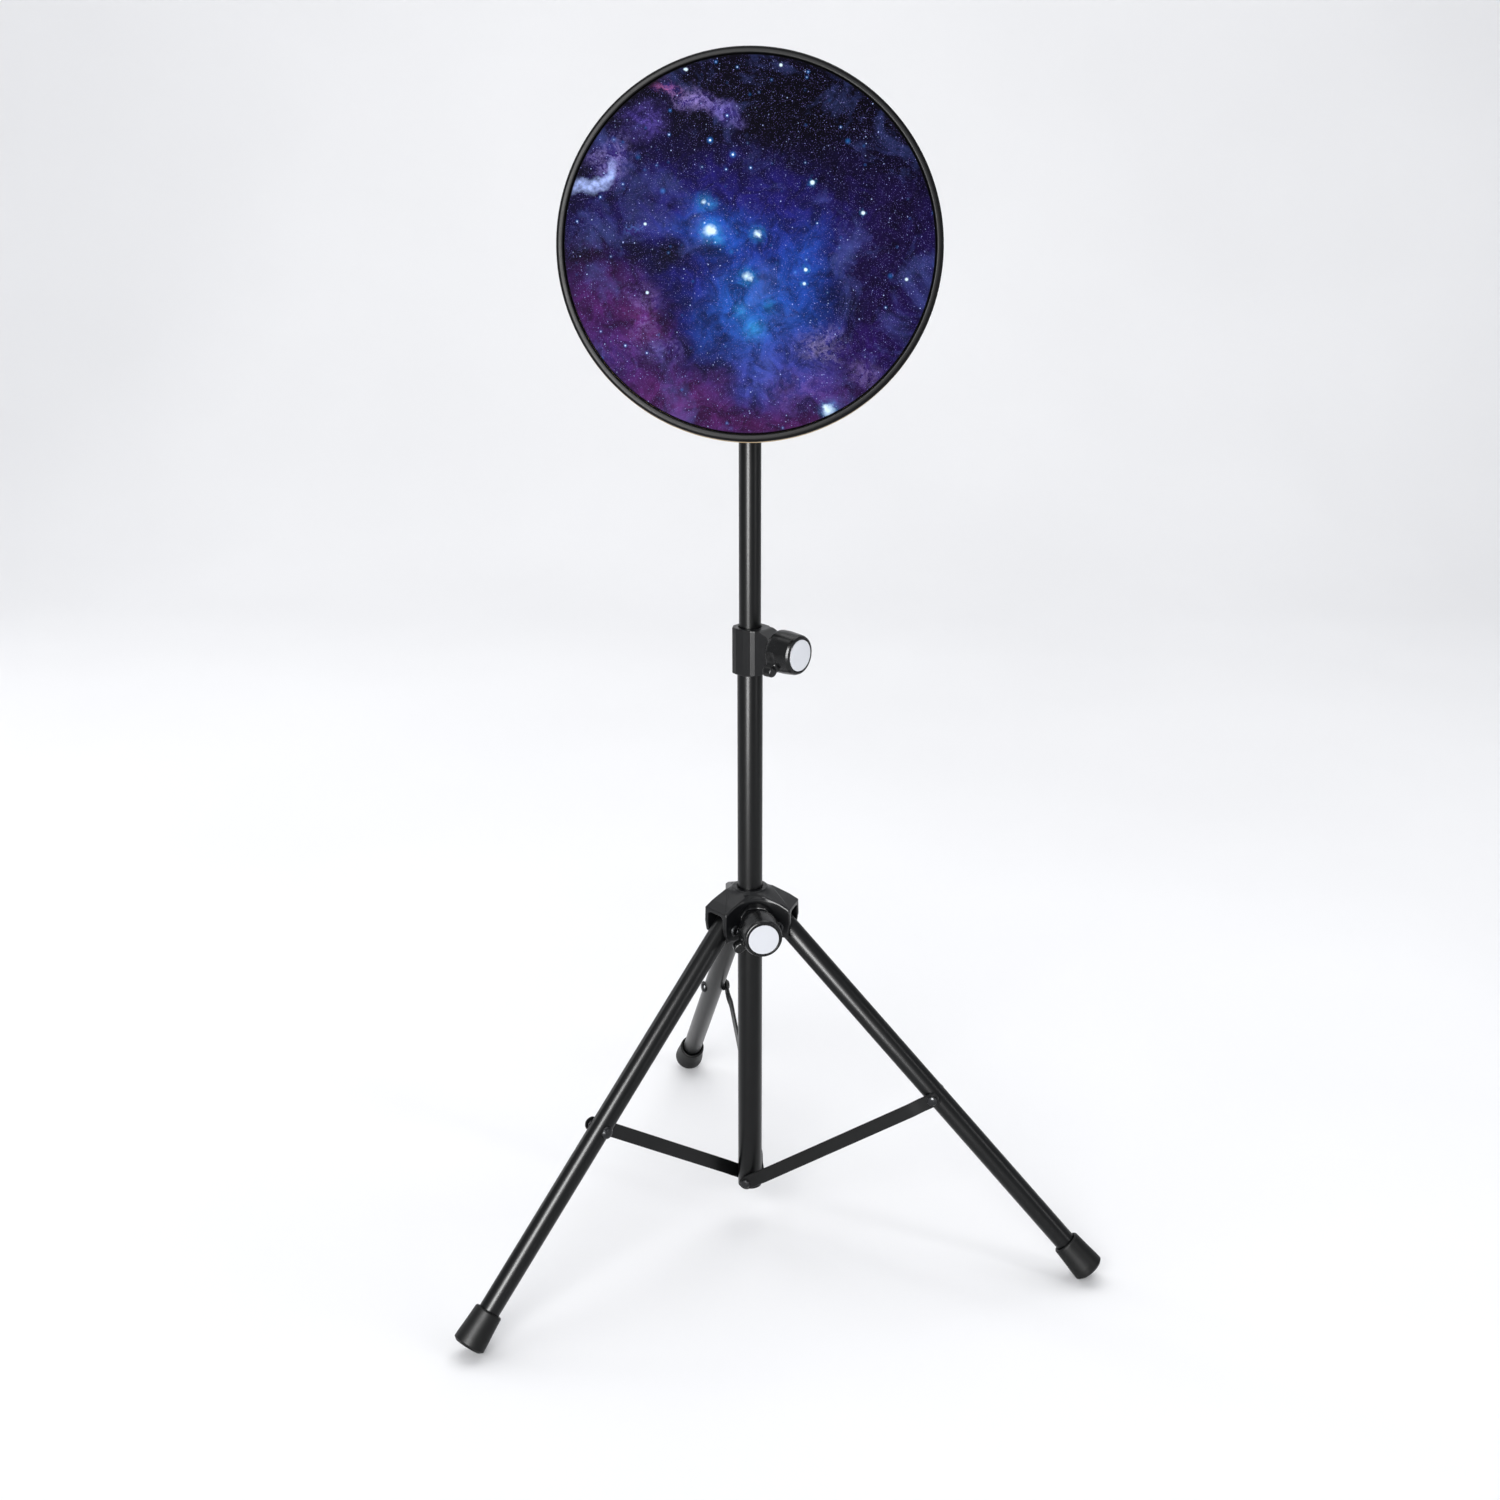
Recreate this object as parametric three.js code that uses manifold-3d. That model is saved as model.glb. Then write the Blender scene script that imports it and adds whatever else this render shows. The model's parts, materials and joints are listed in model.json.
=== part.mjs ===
// Twelve-inch practice pad on a folding, height-adjustable tripod stand.
// Units are millimetres, +Z is up, the floor is z = 0. The origin is the bottom centre of the whole object's box.
import * as THREE from 'three';
import { mergeVertices } from 'three/addons/utils/BufferGeometryUtils.js';
import Module from 'manifold-3d';

const wasm = await Module();
wasm.setup();

// ---------------------------------------------------------------- driving dimensions
const COLUMN_X = -32.9, COLUMN_Y = -48.9;      // column axis in the row frame
const RAD = Math.PI / 180;

// column and mast
const LOWER_OD = 22.2, LOWER_ID = 19.8, LOWER_BOTTOM = 40, LOWER_TOP = 575;
const UPPER_OD = 19.05, UPPER_ID = 16.6, UPPER_BOTTOM = 300, UPPER_TOP = 842;
const COLLAR_BOTTOM = 543, COLLAR_TOP = 585, HEIGHT_KNOB_Z = 569, HEIGHT_KNOB_AZ = -40;

// tripod
const LEG_AZ = { right: -18, left: -138, back: 102 };
const LEG_OD = 19.05, LEG_ID = 16.65;
const HUB_PIVOT_R = 31.5, HUB_PIVOT_Z = 314, SPLAY = 43.84;
const LEG_LENGTH = 421.5;                      // pivot to the foot's end face
const STRUT_ON_LEG = 208.6;                    // pivot to the strut's rivet, along the leg
const STRUT_PIVOT_Z = 47, STRUT_WIDTH = 12.7, STRUT_THICK = 2, STRUT_OFFSET = 12.6;
const STRUT_R = HUB_PIVOT_R + STRUT_ON_LEG * Math.sin(SPLAY * RAD);
const STRUT_Z = HUB_PIVOT_Z - STRUT_ON_LEG * Math.cos(SPLAY * RAD);
const STRUT_LENGTH = Math.hypot(STRUT_R, STRUT_Z - STRUT_PIVOT_Z);
const STRUT_LEAN = Math.atan2(STRUT_R, STRUT_Z - STRUT_PIVOT_Z);
const FOOT_END_R = 14.43, FOOT_TOP_R = 12.4, FOOT_LENGTH = 34, FOOT_SOLE = 9;
const HUB_BOTTOM = 292, HUB_TOP = 344, HUB_KNOB_AZ = -78, HUB_KNOB_Z = 316;
const CANOPY_R = 22.5, CANOPY_ARC = 44, CANOPY_SPREAD = 40, NICHE_R = 19.5, BOSS_HALF = 12.6;

// tilter
const TILT_PIVOT_Z = 897, CLAMP_DROP = 37, TILT = 78;
const GAP_HALF = 5.3, PLATE = 2, PLATE_R = 51, WEB_TOP = 15.5;
const ROD_R = 3.9;

// pad
const PAD_R = 152.4, RIM_OUTER = 152.2, RIM_INNER = 146.4, SURFACE_R = 146.0;
const SKIN_Z = 36.6, BOARD_Z = 38.9, BOARD_T = 12, TOP_Z = 51.2, SURFACE_T = 6.5, RIM_T = 7.6;

// ---------------------------------------------------------------- helpers
function clean(g) {
  const h = g.index ? g.clone() : g.clone();
  h.deleteAttribute('normal'); h.deleteAttribute('uv');
  const m = mergeVertices(h, 1e-4);
  const p = m.attributes.position, ix = m.index;
  // drop triangles that merging has collapsed, then make the faces point outwards
  const tri = [];
  for (let i = 0; i < ix.count; i += 3) {
    const a = ix.getX(i), b = ix.getX(i + 1), c = ix.getX(i + 2);
    if (a !== b && b !== c && a !== c) tri.push(a, b, c);
  }
  let vol = 0;
  const A = new THREE.Vector3(), B = new THREE.Vector3(), C = new THREE.Vector3();
  for (let i = 0; i < tri.length; i += 3) {
    A.fromBufferAttribute(p, tri[i]); B.fromBufferAttribute(p, tri[i + 1]); C.fromBufferAttribute(p, tri[i + 2]);
    vol += A.dot(B.cross(C));
  }
  if (vol < 0) for (let i = 0; i < tri.length; i += 3) [tri[i], tri[i + 1]] = [tri[i + 1], tri[i]];
  m.setIndex(tri);
  return m;
}
function solid(g) {
  const m = clean(g);
  return new wasm.Manifold(new wasm.Mesh({
    numProp: 3,
    vertProperties: new Float32Array(m.attributes.position.array),
    triVerts: new Uint32Array(m.index.array),
  }));
}
function geometry(man) {
  const mesh = man.getMesh();
  const g = new THREE.BufferGeometry();
  const n = mesh.numProp, count = mesh.vertProperties.length / n, pos = new Float32Array(count * 3);
  for (let i = 0; i < count; i++) for (let k = 0; k < 3; k++) pos[i * 3 + k] = mesh.vertProperties[i * n + k];
  g.setAttribute('position', new THREE.BufferAttribute(pos, 3));
  g.setIndex(Array.from(mesh.triVerts));
  return g;
}
const join = (first, ...rest) => geometry(rest.reduce((m, g) => m.add(solid(g)), solid(first)));
const cut = (first, ...rest) => geometry(rest.reduce((m, g) => m.subtract(solid(g)), solid(first)));

// a turned piece about +Z; profile is [radius, z] pairs that start and end on the axis or close on themselves
const facets = n => (n <= 6 ? n : Math.max(8, 2 * Math.round(n * 0.29)));
function turned(profile, seg = 24) {
  const g = new THREE.LatheGeometry(profile.map(([r, z]) => new THREE.Vector2(r, z)), facets(seg));
  g.rotateX(Math.PI / 2);
  return clean(g);
}
const rod = (r, z0, z1, seg = 20) => turned([[0, z0], [r, z0], [r, z1], [0, z1]], seg);
const ring = (ro, ri, z0, z1, seg = 24) => turned([[ri, z0], [ro, z0], [ro, z1], [ri, z1], [ri, z0]], seg);
// a flat outline of [x, z] points, extruded from y0 to y1, with optional round or outlined holes
function plateXZ(points, y0, y1, holes = []) {
  const s = new THREE.Shape(points.map(([x, z]) => new THREE.Vector2(x, z)));
  for (const h of holes) s.holes.push(new THREE.Path(h.map(([x, z]) => new THREE.Vector2(x, z))));
  const g = new THREE.ExtrudeGeometry(s, { depth: y1 - y0, bevelEnabled: false, curveSegments: 8 });
  g.rotateX(Math.PI / 2);
  g.translate(0, y1, 0);
  return clean(g);
}
const box = (x0, x1, y0, y1, z0, z1) => {
  const g = new THREE.BoxGeometry(x1 - x0, y1 - y0, z1 - z0);
  g.translate((x0 + x1) / 2, (y0 + y1) / 2, (z0 + z1) / 2);
  return clean(g);
};
const arc = (cx, cz, r, a0, a1, n) => Array.from({ length: n + 1 }, (_, i) => {
  const a = (a0 + (a1 - a0) * i / n) * RAD;
  return [cx + r * Math.cos(a), cz + r * Math.sin(a)];
});
const along = { x: g => (g.rotateY(Math.PI / 2), g), y: g => (g.rotateX(-Math.PI / 2), g) };
const moved = (g, x, y, z) => (g.translate(x, y, z), g);
const turn = (g, degrees) => (g.rotateZ(degrees * RAD), g);

const paint = {
  powder: [0x141517, 0.32, 0.15], plastic: [0x17181a, 0.5, 0.0], steel: [0x1b1c1e, 0.42, 0.35],
  nut: [0x4a4c4e, 0.45, 0.7], rubber: [0x161616, 0.75, 0.0], print: [0x1c1450, 0.5, 0.0],
  board: [0xb59a72, 0.8, 0.0], skin: [0x1a1a1b, 0.85, 0.0], brass: [0x9c9a92, 0.4, 0.8],
  disc: [0xe9ebf0, 0.4, 0.0], bright: [0x7c7e80, 0.35, 0.8],
};
function piece(parent, name, g, look) {
  const [color, roughness, metalness] = paint[look];
  const m = new THREE.Mesh(g, new THREE.MeshStandardMaterial({ color, roughness, metalness }));
  m.name = name;
  parent.add(m);
  return m;
}
function frame(parent, x = 0, y = 0, z = 0, axis = null, degrees = 0) {
  const g = new THREE.Group();
  g.position.set(x, y, z);
  if (axis) g.rotation[axis] = degrees * RAD;
  parent.add(g);
  return g;
}

const root = new THREE.Group();
const stand = frame(root, COLUMN_X, COLUMN_Y, 0);

// ---------------------------------------------------------------- column
piece(stand, 'lower_tube', cut(
  ring(LOWER_OD / 2, LOWER_ID / 2, LOWER_BOTTOM, LOWER_TOP, 32),
  turn(moved(along.x(rod(5.2, 0, 20, 16)), 0, 0, HEIGHT_KNOB_Z), HEIGHT_KNOB_AZ),
), 'powder');
// domed plug that closes the tube's lower end
piece(stand, 'bottom_plug', turned([[0, 38.6], [6, 38.9], [LOWER_ID / 2 - 0.5, 39.9], [LOWER_ID / 2 - 0.5, 56], [7.4, 56], [7.4, 42], [0, 42]], 24), 'plastic');

// strut rivets on the column: a shouldered pin standing out of the tube's wall on the clockwise side of each leg
for (const [side, az] of Object.entries(LEG_AZ)) {
  const g = frame(stand, 0, 0, 0, 'z', az);
  const y = -LOWER_OD / 2 - 0.3;
  const face = -(STRUT_OFFSET + STRUT_THICK / 2);
  const pin = turned([[0, 0], [2.6, 0], [2.6, y - face + 0.3], [4.6, y - face + 0.3], [3.6, y - face + 2.2], [0, y - face + 2.5]], 16);
  pin.rotateX(Math.PI / 2);                     // +Z of the pin goes to -Y
  piece(g, `column_rivet_${side}`, moved(pin, 0, y, STRUT_PIVOT_Z), 'steel');
}

// height clamp: faceted collar with a neck towards its knob
{
  const g = frame(stand, 0, 0, 0, 'z', HEIGHT_KNOB_AZ);
  const outline = [[-13.6, -6.5], [-9.5, -12.6], [-4, -14.2], [4, -14.2], [11, -12.8], [14, -10.6], [28.5, -9.6], [28.5, 9.6], [14, 10.6], [11, 12.8], [4, 14.2], [-4, 14.2], [-9.5, 12.6], [-13.6, 6.5]];
  const s = new THREE.Shape(outline.map(p => new THREE.Vector2(...p)));
  const plain = new THREE.ExtrudeGeometry(s, { depth: COLLAR_TOP - COLLAR_BOTTOM, bevelEnabled: false });
  plain.translate(0, 0, COLLAR_BOTTOM);
  piece(g, 'clamp_collar', cut(clean(plain),
    rod(LOWER_OD / 2 + 0.3, COLLAR_BOTTOM - 1, LOWER_TOP + 0.3, 32),
    rod(UPPER_OD / 2 + 0.45, LOWER_TOP, COLLAR_TOP + 1, 32),
    moved(along.x(rod(4.3, 9, 40, 16)), 0, 0, HEIGHT_KNOB_Z)), 'plastic');
  // pressure shoe between the screw's tip and the mast
  piece(g, 'clamp_shoe', cut(moved(along.x(rod(3.9, 0, 11.0, 16)), 0, 0, HEIGHT_KNOB_Z), rod(UPPER_OD / 2 + 0.35, 550, 590, 32)), 'brass');
}

// ---------------------------------------------------------------- knobs: round face, pale disc, finger lobe, own screw
function knob(parent, name, at, screwFrom, lobeAngle) {
  // local frame: +X is the knob's axis, x = at is its back face
  const g = frame(parent);
  const body = turned([[0, 0], [12.5, 0], [18.6, 3.6], [18.6, 11], [17.2, 24.4], [15.6, 26.5], [14.1, 26.5], [14.1, 25.9], [0, 25.9]], 32);
  const lobe = moved(rod(4.4, 3.6, 13, 14), 23.6, 0, 0);
  let k = cut(join(body, turn(join(lobe, box(12, 23.6, -4.1, 4.1, 3.6, 13)), lobeAngle)), rod(4.3, -1, 14, 16));
  const disc = turned([[0, 26.2], [13.5, 26.2], [13.5, 27], [0, 27.1]], 32);
  k.rotateY(Math.PI / 2); disc.rotateY(Math.PI / 2);
  piece(g, `${name}_knob`, moved(k, at, 0, 0), 'plastic');
  piece(g, `${name}_knob_disc`, moved(disc, at, 0, 0), 'disc');
  if (screwFrom !== null) piece(g, `${name}_knob_screw`, along.x(rod(3.9, screwFrom, at + 13.4, 16)), 'bright');
}
{
  const g = frame(frame(stand, 0, 0, HEIGHT_KNOB_Z), 0, 0, 0, 'z', HEIGHT_KNOB_AZ);
  knob(g, 'height', 29.0, 11.4, -55);
}

// ---------------------------------------------------------------- telescoping mast
// guide bush: a split plastic sleeve at the mast's lower end, sliding in the lower tube
piece(stand, 'guide_bush', turned([[8.6, UPPER_BOTTOM - 8], [LOWER_ID / 2 - 0.3, UPPER_BOTTOM - 8], [LOWER_ID / 2 - 0.3, UPPER_BOTTOM - 0.4], [8.6, UPPER_BOTTOM - 0.4], [8.6, UPPER_BOTTOM - 8]], 24), 'plastic');
piece(stand, 'upper_tube', ring(UPPER_OD / 2, UPPER_ID / 2, UPPER_BOTTOM, UPPER_TOP, 32), 'powder');

const head = frame(stand, 0, 0, TILT_PIVOT_Z);
{
  // mast head: a spigot in the tube, a round shoulder, and the flat tongue that the tilter's plates straddle
  const top = UPPER_TOP - TILT_PIVOT_Z;
  const spigot = turned([[0, top - 28], [UPPER_ID / 2 - 0.3, top - 28], [UPPER_ID / 2 - 0.3, top + 0.3], [UPPER_OD / 2, top + 0.3], [UPPER_OD / 2, top + 2.2], [8.4, top + 3.4], [0, top + 3.4]], 24);
  const tongue = plateXZ([[-8.2, top + 2], [8.2, top + 2], ...arc(0, 0, 8.2, 0, 180, 10)], -4.95, 4.95);
  tongue.rotateZ(Math.PI / 2);
  piece(head, 'mast_head', cut(join(spigot, tongue),
    along.x(rod(3.3, -12, 12, 16)), moved(along.x(rod(3.3, -12, 12, 16)), 0, 0, -CLAMP_DROP)), 'steel');
}

// clamp bolt through the tongue, with its round head on the far side, and its washer under the knob
{
  const g = frame(head, 0, 0, -CLAMP_DROP);
  const bolt = turned([[0, -11.2], [4.5, -10.8], [6.6, -9.2], [6.6, -7.7], [3.0, -7.7], [3.0, 22], [0, 22]], 16);
  bolt.rotateY(Math.PI / 2);
  piece(g, 'tilt_clamp_bolt', bolt, 'bright');
  const w = ring(10, 3.3, 7.6, 9.2, 20);
  w.rotateY(Math.PI / 2);
  piece(g, 'tilt_clamp_washer', w, 'steel');
  knob(frame(g), 'tilt', 9.6, null, -55);
}

// ---------------------------------------------------------------- tilter: everything here turns about the pivot screw
const tilter = frame(head, 0, 0, 0, 'x', TILT);
{
  // outline in (Y, Z) about the pivot: straight top, curved front edge, cut-back rear edge
  const outline = [[35, WEB_TOP], ...[[-Math.sqrt(PLATE_R ** 2 - WEB_TOP ** 2), WEB_TOP]], ...arc(0, 0, PLATE_R, 168, 281, 9), [35, -2]];
  const slot = [...arc(0, 0, 40.7, 183, 273, 7), ...arc(37 * Math.cos(273 * RAD), 37 * Math.sin(273 * RAD), 3.6, 273, 453, 4).slice(1, -1),
    ...arc(0, 0, 33.4, 273, 183, 7), ...arc(37 * Math.cos(183 * RAD), 37 * Math.sin(183 * RAD), 3.6, 3, 183, 4).slice(1, -1)];
  const wall = plateXZ(outline, -GAP_HALF - PLATE, GAP_HALF + PLATE, [slot]);
  const inner = plateXZ([[-60, -60], [60, -60], [60, WEB_TOP - PLATE], [-60, WEB_TOP - PLATE]], -GAP_HALF, GAP_HALF);
  const b = cut(wall, inner);
  b.rotateZ(Math.PI / 2);                       // the outline's x runs along +Y, the plates face +X and -X
  piece(tilter, 'tilt_bracket', cut(b, along.x(rod(3.3, -12, 12, 16)), rod(4.3, 10, 20, 20)), 'steel');

  const screw = turned([[0, -11], [2.95, -11], [2.95, 7.6], [6.8, 7.6], [6.4, 9.2], [4.6, 10.6], [0, 11.2]], 20);
  screw.rotateY(Math.PI / 2);
  piece(tilter, 'pivot_screw', screw, 'steel');
  const nutg = cut(rod(5.8, -12.2, -7.6, 6), rod(3.25, -13, -7, 16));
  nutg.rotateY(Math.PI / 2);
  piece(tilter, 'pivot_nut', nutg, 'steel');

  piece(tilter, 'threaded_rod', join(box(-4.9, 4.9, -6, 6, 9.5, 13.2), rod(ROD_R, 12, 49, 20)), 'bright');
  piece(tilter, 'base_washer', turned([[4.4, 15.8], [12.6, 15.8], [11.8, 19.6], [4.4, 19.6], [4.4, 15.8]], 28), 'steel');
  piece(tilter, 'spring_washer', turned([[4.4, 19.9], [11.1, 19.9], [11.1, 22.9], [4.4, 22.9], [4.4, 19.9]], 28), 'steel');
  piece(tilter, 'hex_nut', cut(rod(9.6, 23.2, 30.4, 6), rod(4.2, 22, 32, 16)), 'nut');
  piece(tilter, 'wing_lock_nut', cut(join(rod(8.2, 30.8, 35.4, 24), box(-13.8, 13.8, -3.4, 3.4, 31, 35.2)), rod(4.2, 28, 38, 16)), 'nut');
}

// ---------------------------------------------------------------- pad, screwed on the rod
{
  const seg = 84;
  piece(tilter, 'non_slip_base', cut(rod(148.5, SKIN_Z, BOARD_Z - 0.3, seg), rod(20, 30, 60, 32)), 'skin');
  piece(tilter, 'base_board', cut(rod(PAD_R, BOARD_Z, BOARD_Z + BOARD_T, seg), rod(5.9, 30, 60, 20)), 'board');
  piece(tilter, 'threaded_insert', turned([[4.3, 37.0], [18, 37.0], [18, 38.5], [5.5, 38.5], [5.5, 50.2], [4.3, 50.2], [4.3, 37.0]], 28), 'brass');
  piece(tilter, 'playing_surface', rod(SURFACE_R, TOP_Z, TOP_Z + SURFACE_T, seg), 'print');
  piece(tilter, 'rim_ring', turned([[RIM_INNER, TOP_Z], [RIM_OUTER, TOP_Z], [RIM_OUTER, TOP_Z + RIM_T - 2.2], [RIM_OUTER - 2, TOP_Z + RIM_T],
    [RIM_INNER, TOP_Z + RIM_T], [RIM_INNER, TOP_Z]], seg), 'rubber');
}

// ---------------------------------------------------------------- hub: sleeve, three leg sockets, knob boss
{
  const sleeve = turned([[0, HUB_BOTTOM], [16.8, HUB_BOTTOM], [17.4, HUB_BOTTOM + 20], [17.4, 336], [15.6, HUB_TOP], [0, HUB_TOP]], 32);
  let hub = solid(sleeve);
  for (const az of Object.values(LEG_AZ)) {
    const arm = plateXZ([[6, 342], [17, 341.5], [33, 335.5], [41.5, 331], [42, 318], [40.5, 309], [36.5, 304.2], [30, 303], [24, 304], [20, 300], [6, 300]], -14.4, 14.4);
    hub = hub.add(solid(turn(arm, az)));
  }
  // canopy wall between the two arms beside the knob: set back in a shallow arc, under the sloping roof, arched over the knob
  const edge = arc(CANOPY_R + CANOPY_ARC, 0, CANOPY_ARC, 180 + CANOPY_SPREAD, 180 - CANOPY_SPREAD, 8);
  const plan = new THREE.ExtrudeGeometry(new THREE.Shape([[0, -20], ...edge.map(([x, y]) => [x, y]), [0, 20]].map(([x, y]) => new THREE.Vector2(x, y))), { depth: 42, bevelEnabled: false });
  plan.translate(0, 0, 303);
  const roof = solid(turned([[0, 303], [46, 303], [46, 328], [41.5, 331], [33, 335.5], [17, 341.5], [0, 342]], 40));
  const niche = moved(along.x(rod(NICHE_R, 12, 60, 32)), 0, 0, HUB_KNOB_Z);
  const wall = solid(turn(clean(plan), HUB_KNOB_AZ)).intersect(roof).subtract(solid(turn(niche, HUB_KNOB_AZ)));
  // boss that carries the knob's nut
  const c = 4, h = BOSS_HALF;
  const boss = plateXZ([[-h, -h + c], [-h + c, -h], [h - c, -h], [h, -h + c], [h, h - c], [h - c, h], [-h + c, h], [-h, h - c]], 0, 25);
  boss.rotateZ(-Math.PI / 2);
  hub = hub.add(wall).add(solid(turn(moved(boss, 6, 0, HUB_KNOB_Z), HUB_KNOB_AZ)));
  for (const az of Object.values(LEG_AZ)) {
    // slot for the leg, open outwards and downwards, with room for the leg's top as it folds
    const slot = plateXZ([[17.9, 290], [60, 290], [60, 331.5], [42, 327.6], [37, 327.6], [25, 327.6], [17.9, 322]], -9.9, 9.9);
    hub = hub.subtract(solid(turn(slot, az)));
    const pin = moved(along.y(rod(3.3, -20, 20, 16)), HUB_PIVOT_R, 0, HUB_PIVOT_Z);
    hub = hub.subtract(solid(turn(pin, az)));
  }
  hub = hub.subtract(solid(rod(LOWER_OD / 2 + 0.35, HUB_BOTTOM - 5, HUB_TOP + 5, 32)));
  hub = hub.subtract(solid(turn(moved(along.x(rod(4.3, 5, 40, 16)), 0, 0, HUB_KNOB_Z), HUB_KNOB_AZ)));
  piece(stand, 'hub', geometry(hub), 'plastic');
  const g = frame(frame(stand, 0, 0, HUB_KNOB_Z), 0, 0, 0, 'z', HUB_KNOB_AZ);
  knob(g, 'hub', 31.5, 11.6, -55);
}

// ---------------------------------------------------------------- legs and struts
for (const [side, az] of Object.entries(LEG_AZ)) {
  const g = frame(stand, 0, 0, 0, 'z', az);

  // hub pivot pin, headed on both sides of the socket's walls
  const pin = turned([[0, -17.4], [4.0, -17.2], [5.2, -14.7], [2.9, -14.7], [2.9, 14.7], [5.2, 14.7], [4.6, 17.4], [0, 17.4]], 16);
  piece(g, `hub_pin_${side}`, moved(along.y(pin), HUB_PIVOT_R, 0, HUB_PIVOT_Z), 'steel');

  const leg = frame(g, HUB_PIVOT_R, 0, HUB_PIVOT_Z, 'y', -SPLAY);
  const end = -(LEG_LENGTH - FOOT_SOLE);
  piece(leg, `leg_tube_${side}`, cut(ring(LEG_OD / 2, LEG_ID / 2, end + 0.3, 5, 28),
    along.y(rod(3.3, -15, 15, 16)), moved(along.y(rod(2.9, -15, 15, 16)), 0, 0, -STRUT_ON_LEG)), 'powder');
  // rubber foot: a flared cup over the tube's end
  const L = -LEG_LENGTH;
  piece(leg, `foot_${side}`, turned([[0, L], [FOOT_END_R, L], [FOOT_END_R - 0.5, L + 6], [FOOT_TOP_R + 0.3, L + FOOT_LENGTH - 4], [FOOT_TOP_R - 0.6, L + FOOT_LENGTH],
    [LEG_OD / 2 + 0.3, L + FOOT_LENGTH], [LEG_OD / 2 + 0.3, L + FOOT_SOLE], [0, L + FOOT_SOLE]], 24), 'rubber');
  // strut rivet's own half on the leg: through the tube, with a spacer towards the strut and a round head on the other side
  const far = turned([[0, -11.3], [5.0, -11.3], [5.0, -9.9], [2.6, -9.6], [2.6, 9.7], [5.4, 10.2], [4.2, 12.6], [0, 12.9]], 16);
  piece(leg, `leg_rivet_${side}`, moved(along.y(far), 0, 0, -STRUT_ON_LEG), 'steel');

  const strut = frame(g, 0, -STRUT_OFFSET, STRUT_PIVOT_Z, 'y', STRUT_LEAN / RAD);
  const w = STRUT_WIDTH / 2;
  const bar = plateXZ([...arc(0, 0, w, 180, 360, 6), ...arc(0, STRUT_LENGTH, w, 0, 180, 6)], -STRUT_THICK / 2, STRUT_THICK / 2);
  piece(strut, `strut_${side}`, cut(bar, along.y(rod(2.9, -5, 5, 16)), moved(along.y(rod(2.9, -5, 5, 16)), 0, 0, STRUT_LENGTH)), 'powder');
  const cap = turned([[0, -STRUT_THICK / 2], [2.6, -STRUT_THICK / 2], [2.6, STRUT_THICK / 2 + 0.3], [4.8, STRUT_THICK / 2 + 0.3], [3.8, STRUT_THICK / 2 + 2.2], [0, STRUT_THICK / 2 + 2.6]], 16);
  cap.rotateX(Math.PI / 2);
  piece(strut, `strut_rivet_${side}`, moved(cap, 0, 0, STRUT_LENGTH), 'steel');
}

root.updateMatrixWorld(true);
export default root;
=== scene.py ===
"""Looks for the practice pad and its folding stand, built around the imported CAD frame. Units are metres."""
import json
import math

import bpy
import numpy as np
from mathutils import Matrix, Vector


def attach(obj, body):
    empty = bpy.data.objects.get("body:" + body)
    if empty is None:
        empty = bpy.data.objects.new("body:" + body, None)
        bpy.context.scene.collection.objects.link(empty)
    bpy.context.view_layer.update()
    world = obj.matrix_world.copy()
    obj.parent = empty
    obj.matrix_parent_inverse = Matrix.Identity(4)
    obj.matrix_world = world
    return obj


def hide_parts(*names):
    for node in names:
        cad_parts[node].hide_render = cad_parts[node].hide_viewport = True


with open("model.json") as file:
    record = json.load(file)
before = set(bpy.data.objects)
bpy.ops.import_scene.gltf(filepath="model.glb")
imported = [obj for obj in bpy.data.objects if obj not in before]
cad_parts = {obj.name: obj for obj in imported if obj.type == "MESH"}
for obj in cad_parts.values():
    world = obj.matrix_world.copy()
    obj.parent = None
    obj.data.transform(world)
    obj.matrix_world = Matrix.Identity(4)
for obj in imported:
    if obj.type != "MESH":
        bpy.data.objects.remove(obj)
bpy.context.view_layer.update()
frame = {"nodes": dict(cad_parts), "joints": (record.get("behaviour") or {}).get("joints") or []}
NODES = frame["nodes"]
JOINT = {j["name"]: j for j in frame["joints"]}
MM = 0.001
SIDES = ("right", "left", "back")

# ------------------------------------------------------------------ places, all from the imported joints
AXIS = Vector((JOINT["mast_swivel"]["pos_m"][0], JOINT["mast_swivel"]["pos_m"][1], 0))
PIVOT = Vector(JOINT["tilt"]["pos_m"])
N = Vector(JOINT["pad_lift"]["axis"])
TILT = math.atan2(-N.y, N.z)
SPLAY = math.radians(43.84)
LEG_LENGTH, FOOT_SOLE, FOOT_LEN, STRUT_ON_LEG = 421.5, 9.0, 34.0, 208.6
HUB_PIVOT_R, HUB_PIVOT_Z, STRUT_Z, STRUT_OFFSET = 31.5, 314.0, 47.0, 12.6


def T(x, y, z):
    return Matrix.Translation((x, y, z))


def Rx(a):
    return Matrix.Rotation(a, 4, "X")


def Ry(a):
    return Matrix.Rotation(a, 4, "Y")


def Rz(a):
    return Matrix.Rotation(a, 4, "Z")


STAND = T(AXIS.x, AXIS.y, 0)
TILTER = Matrix.Translation(PIVOT) @ Rx(TILT)


def azimuth(v):
    return math.atan2(v[1], v[0])


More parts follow.
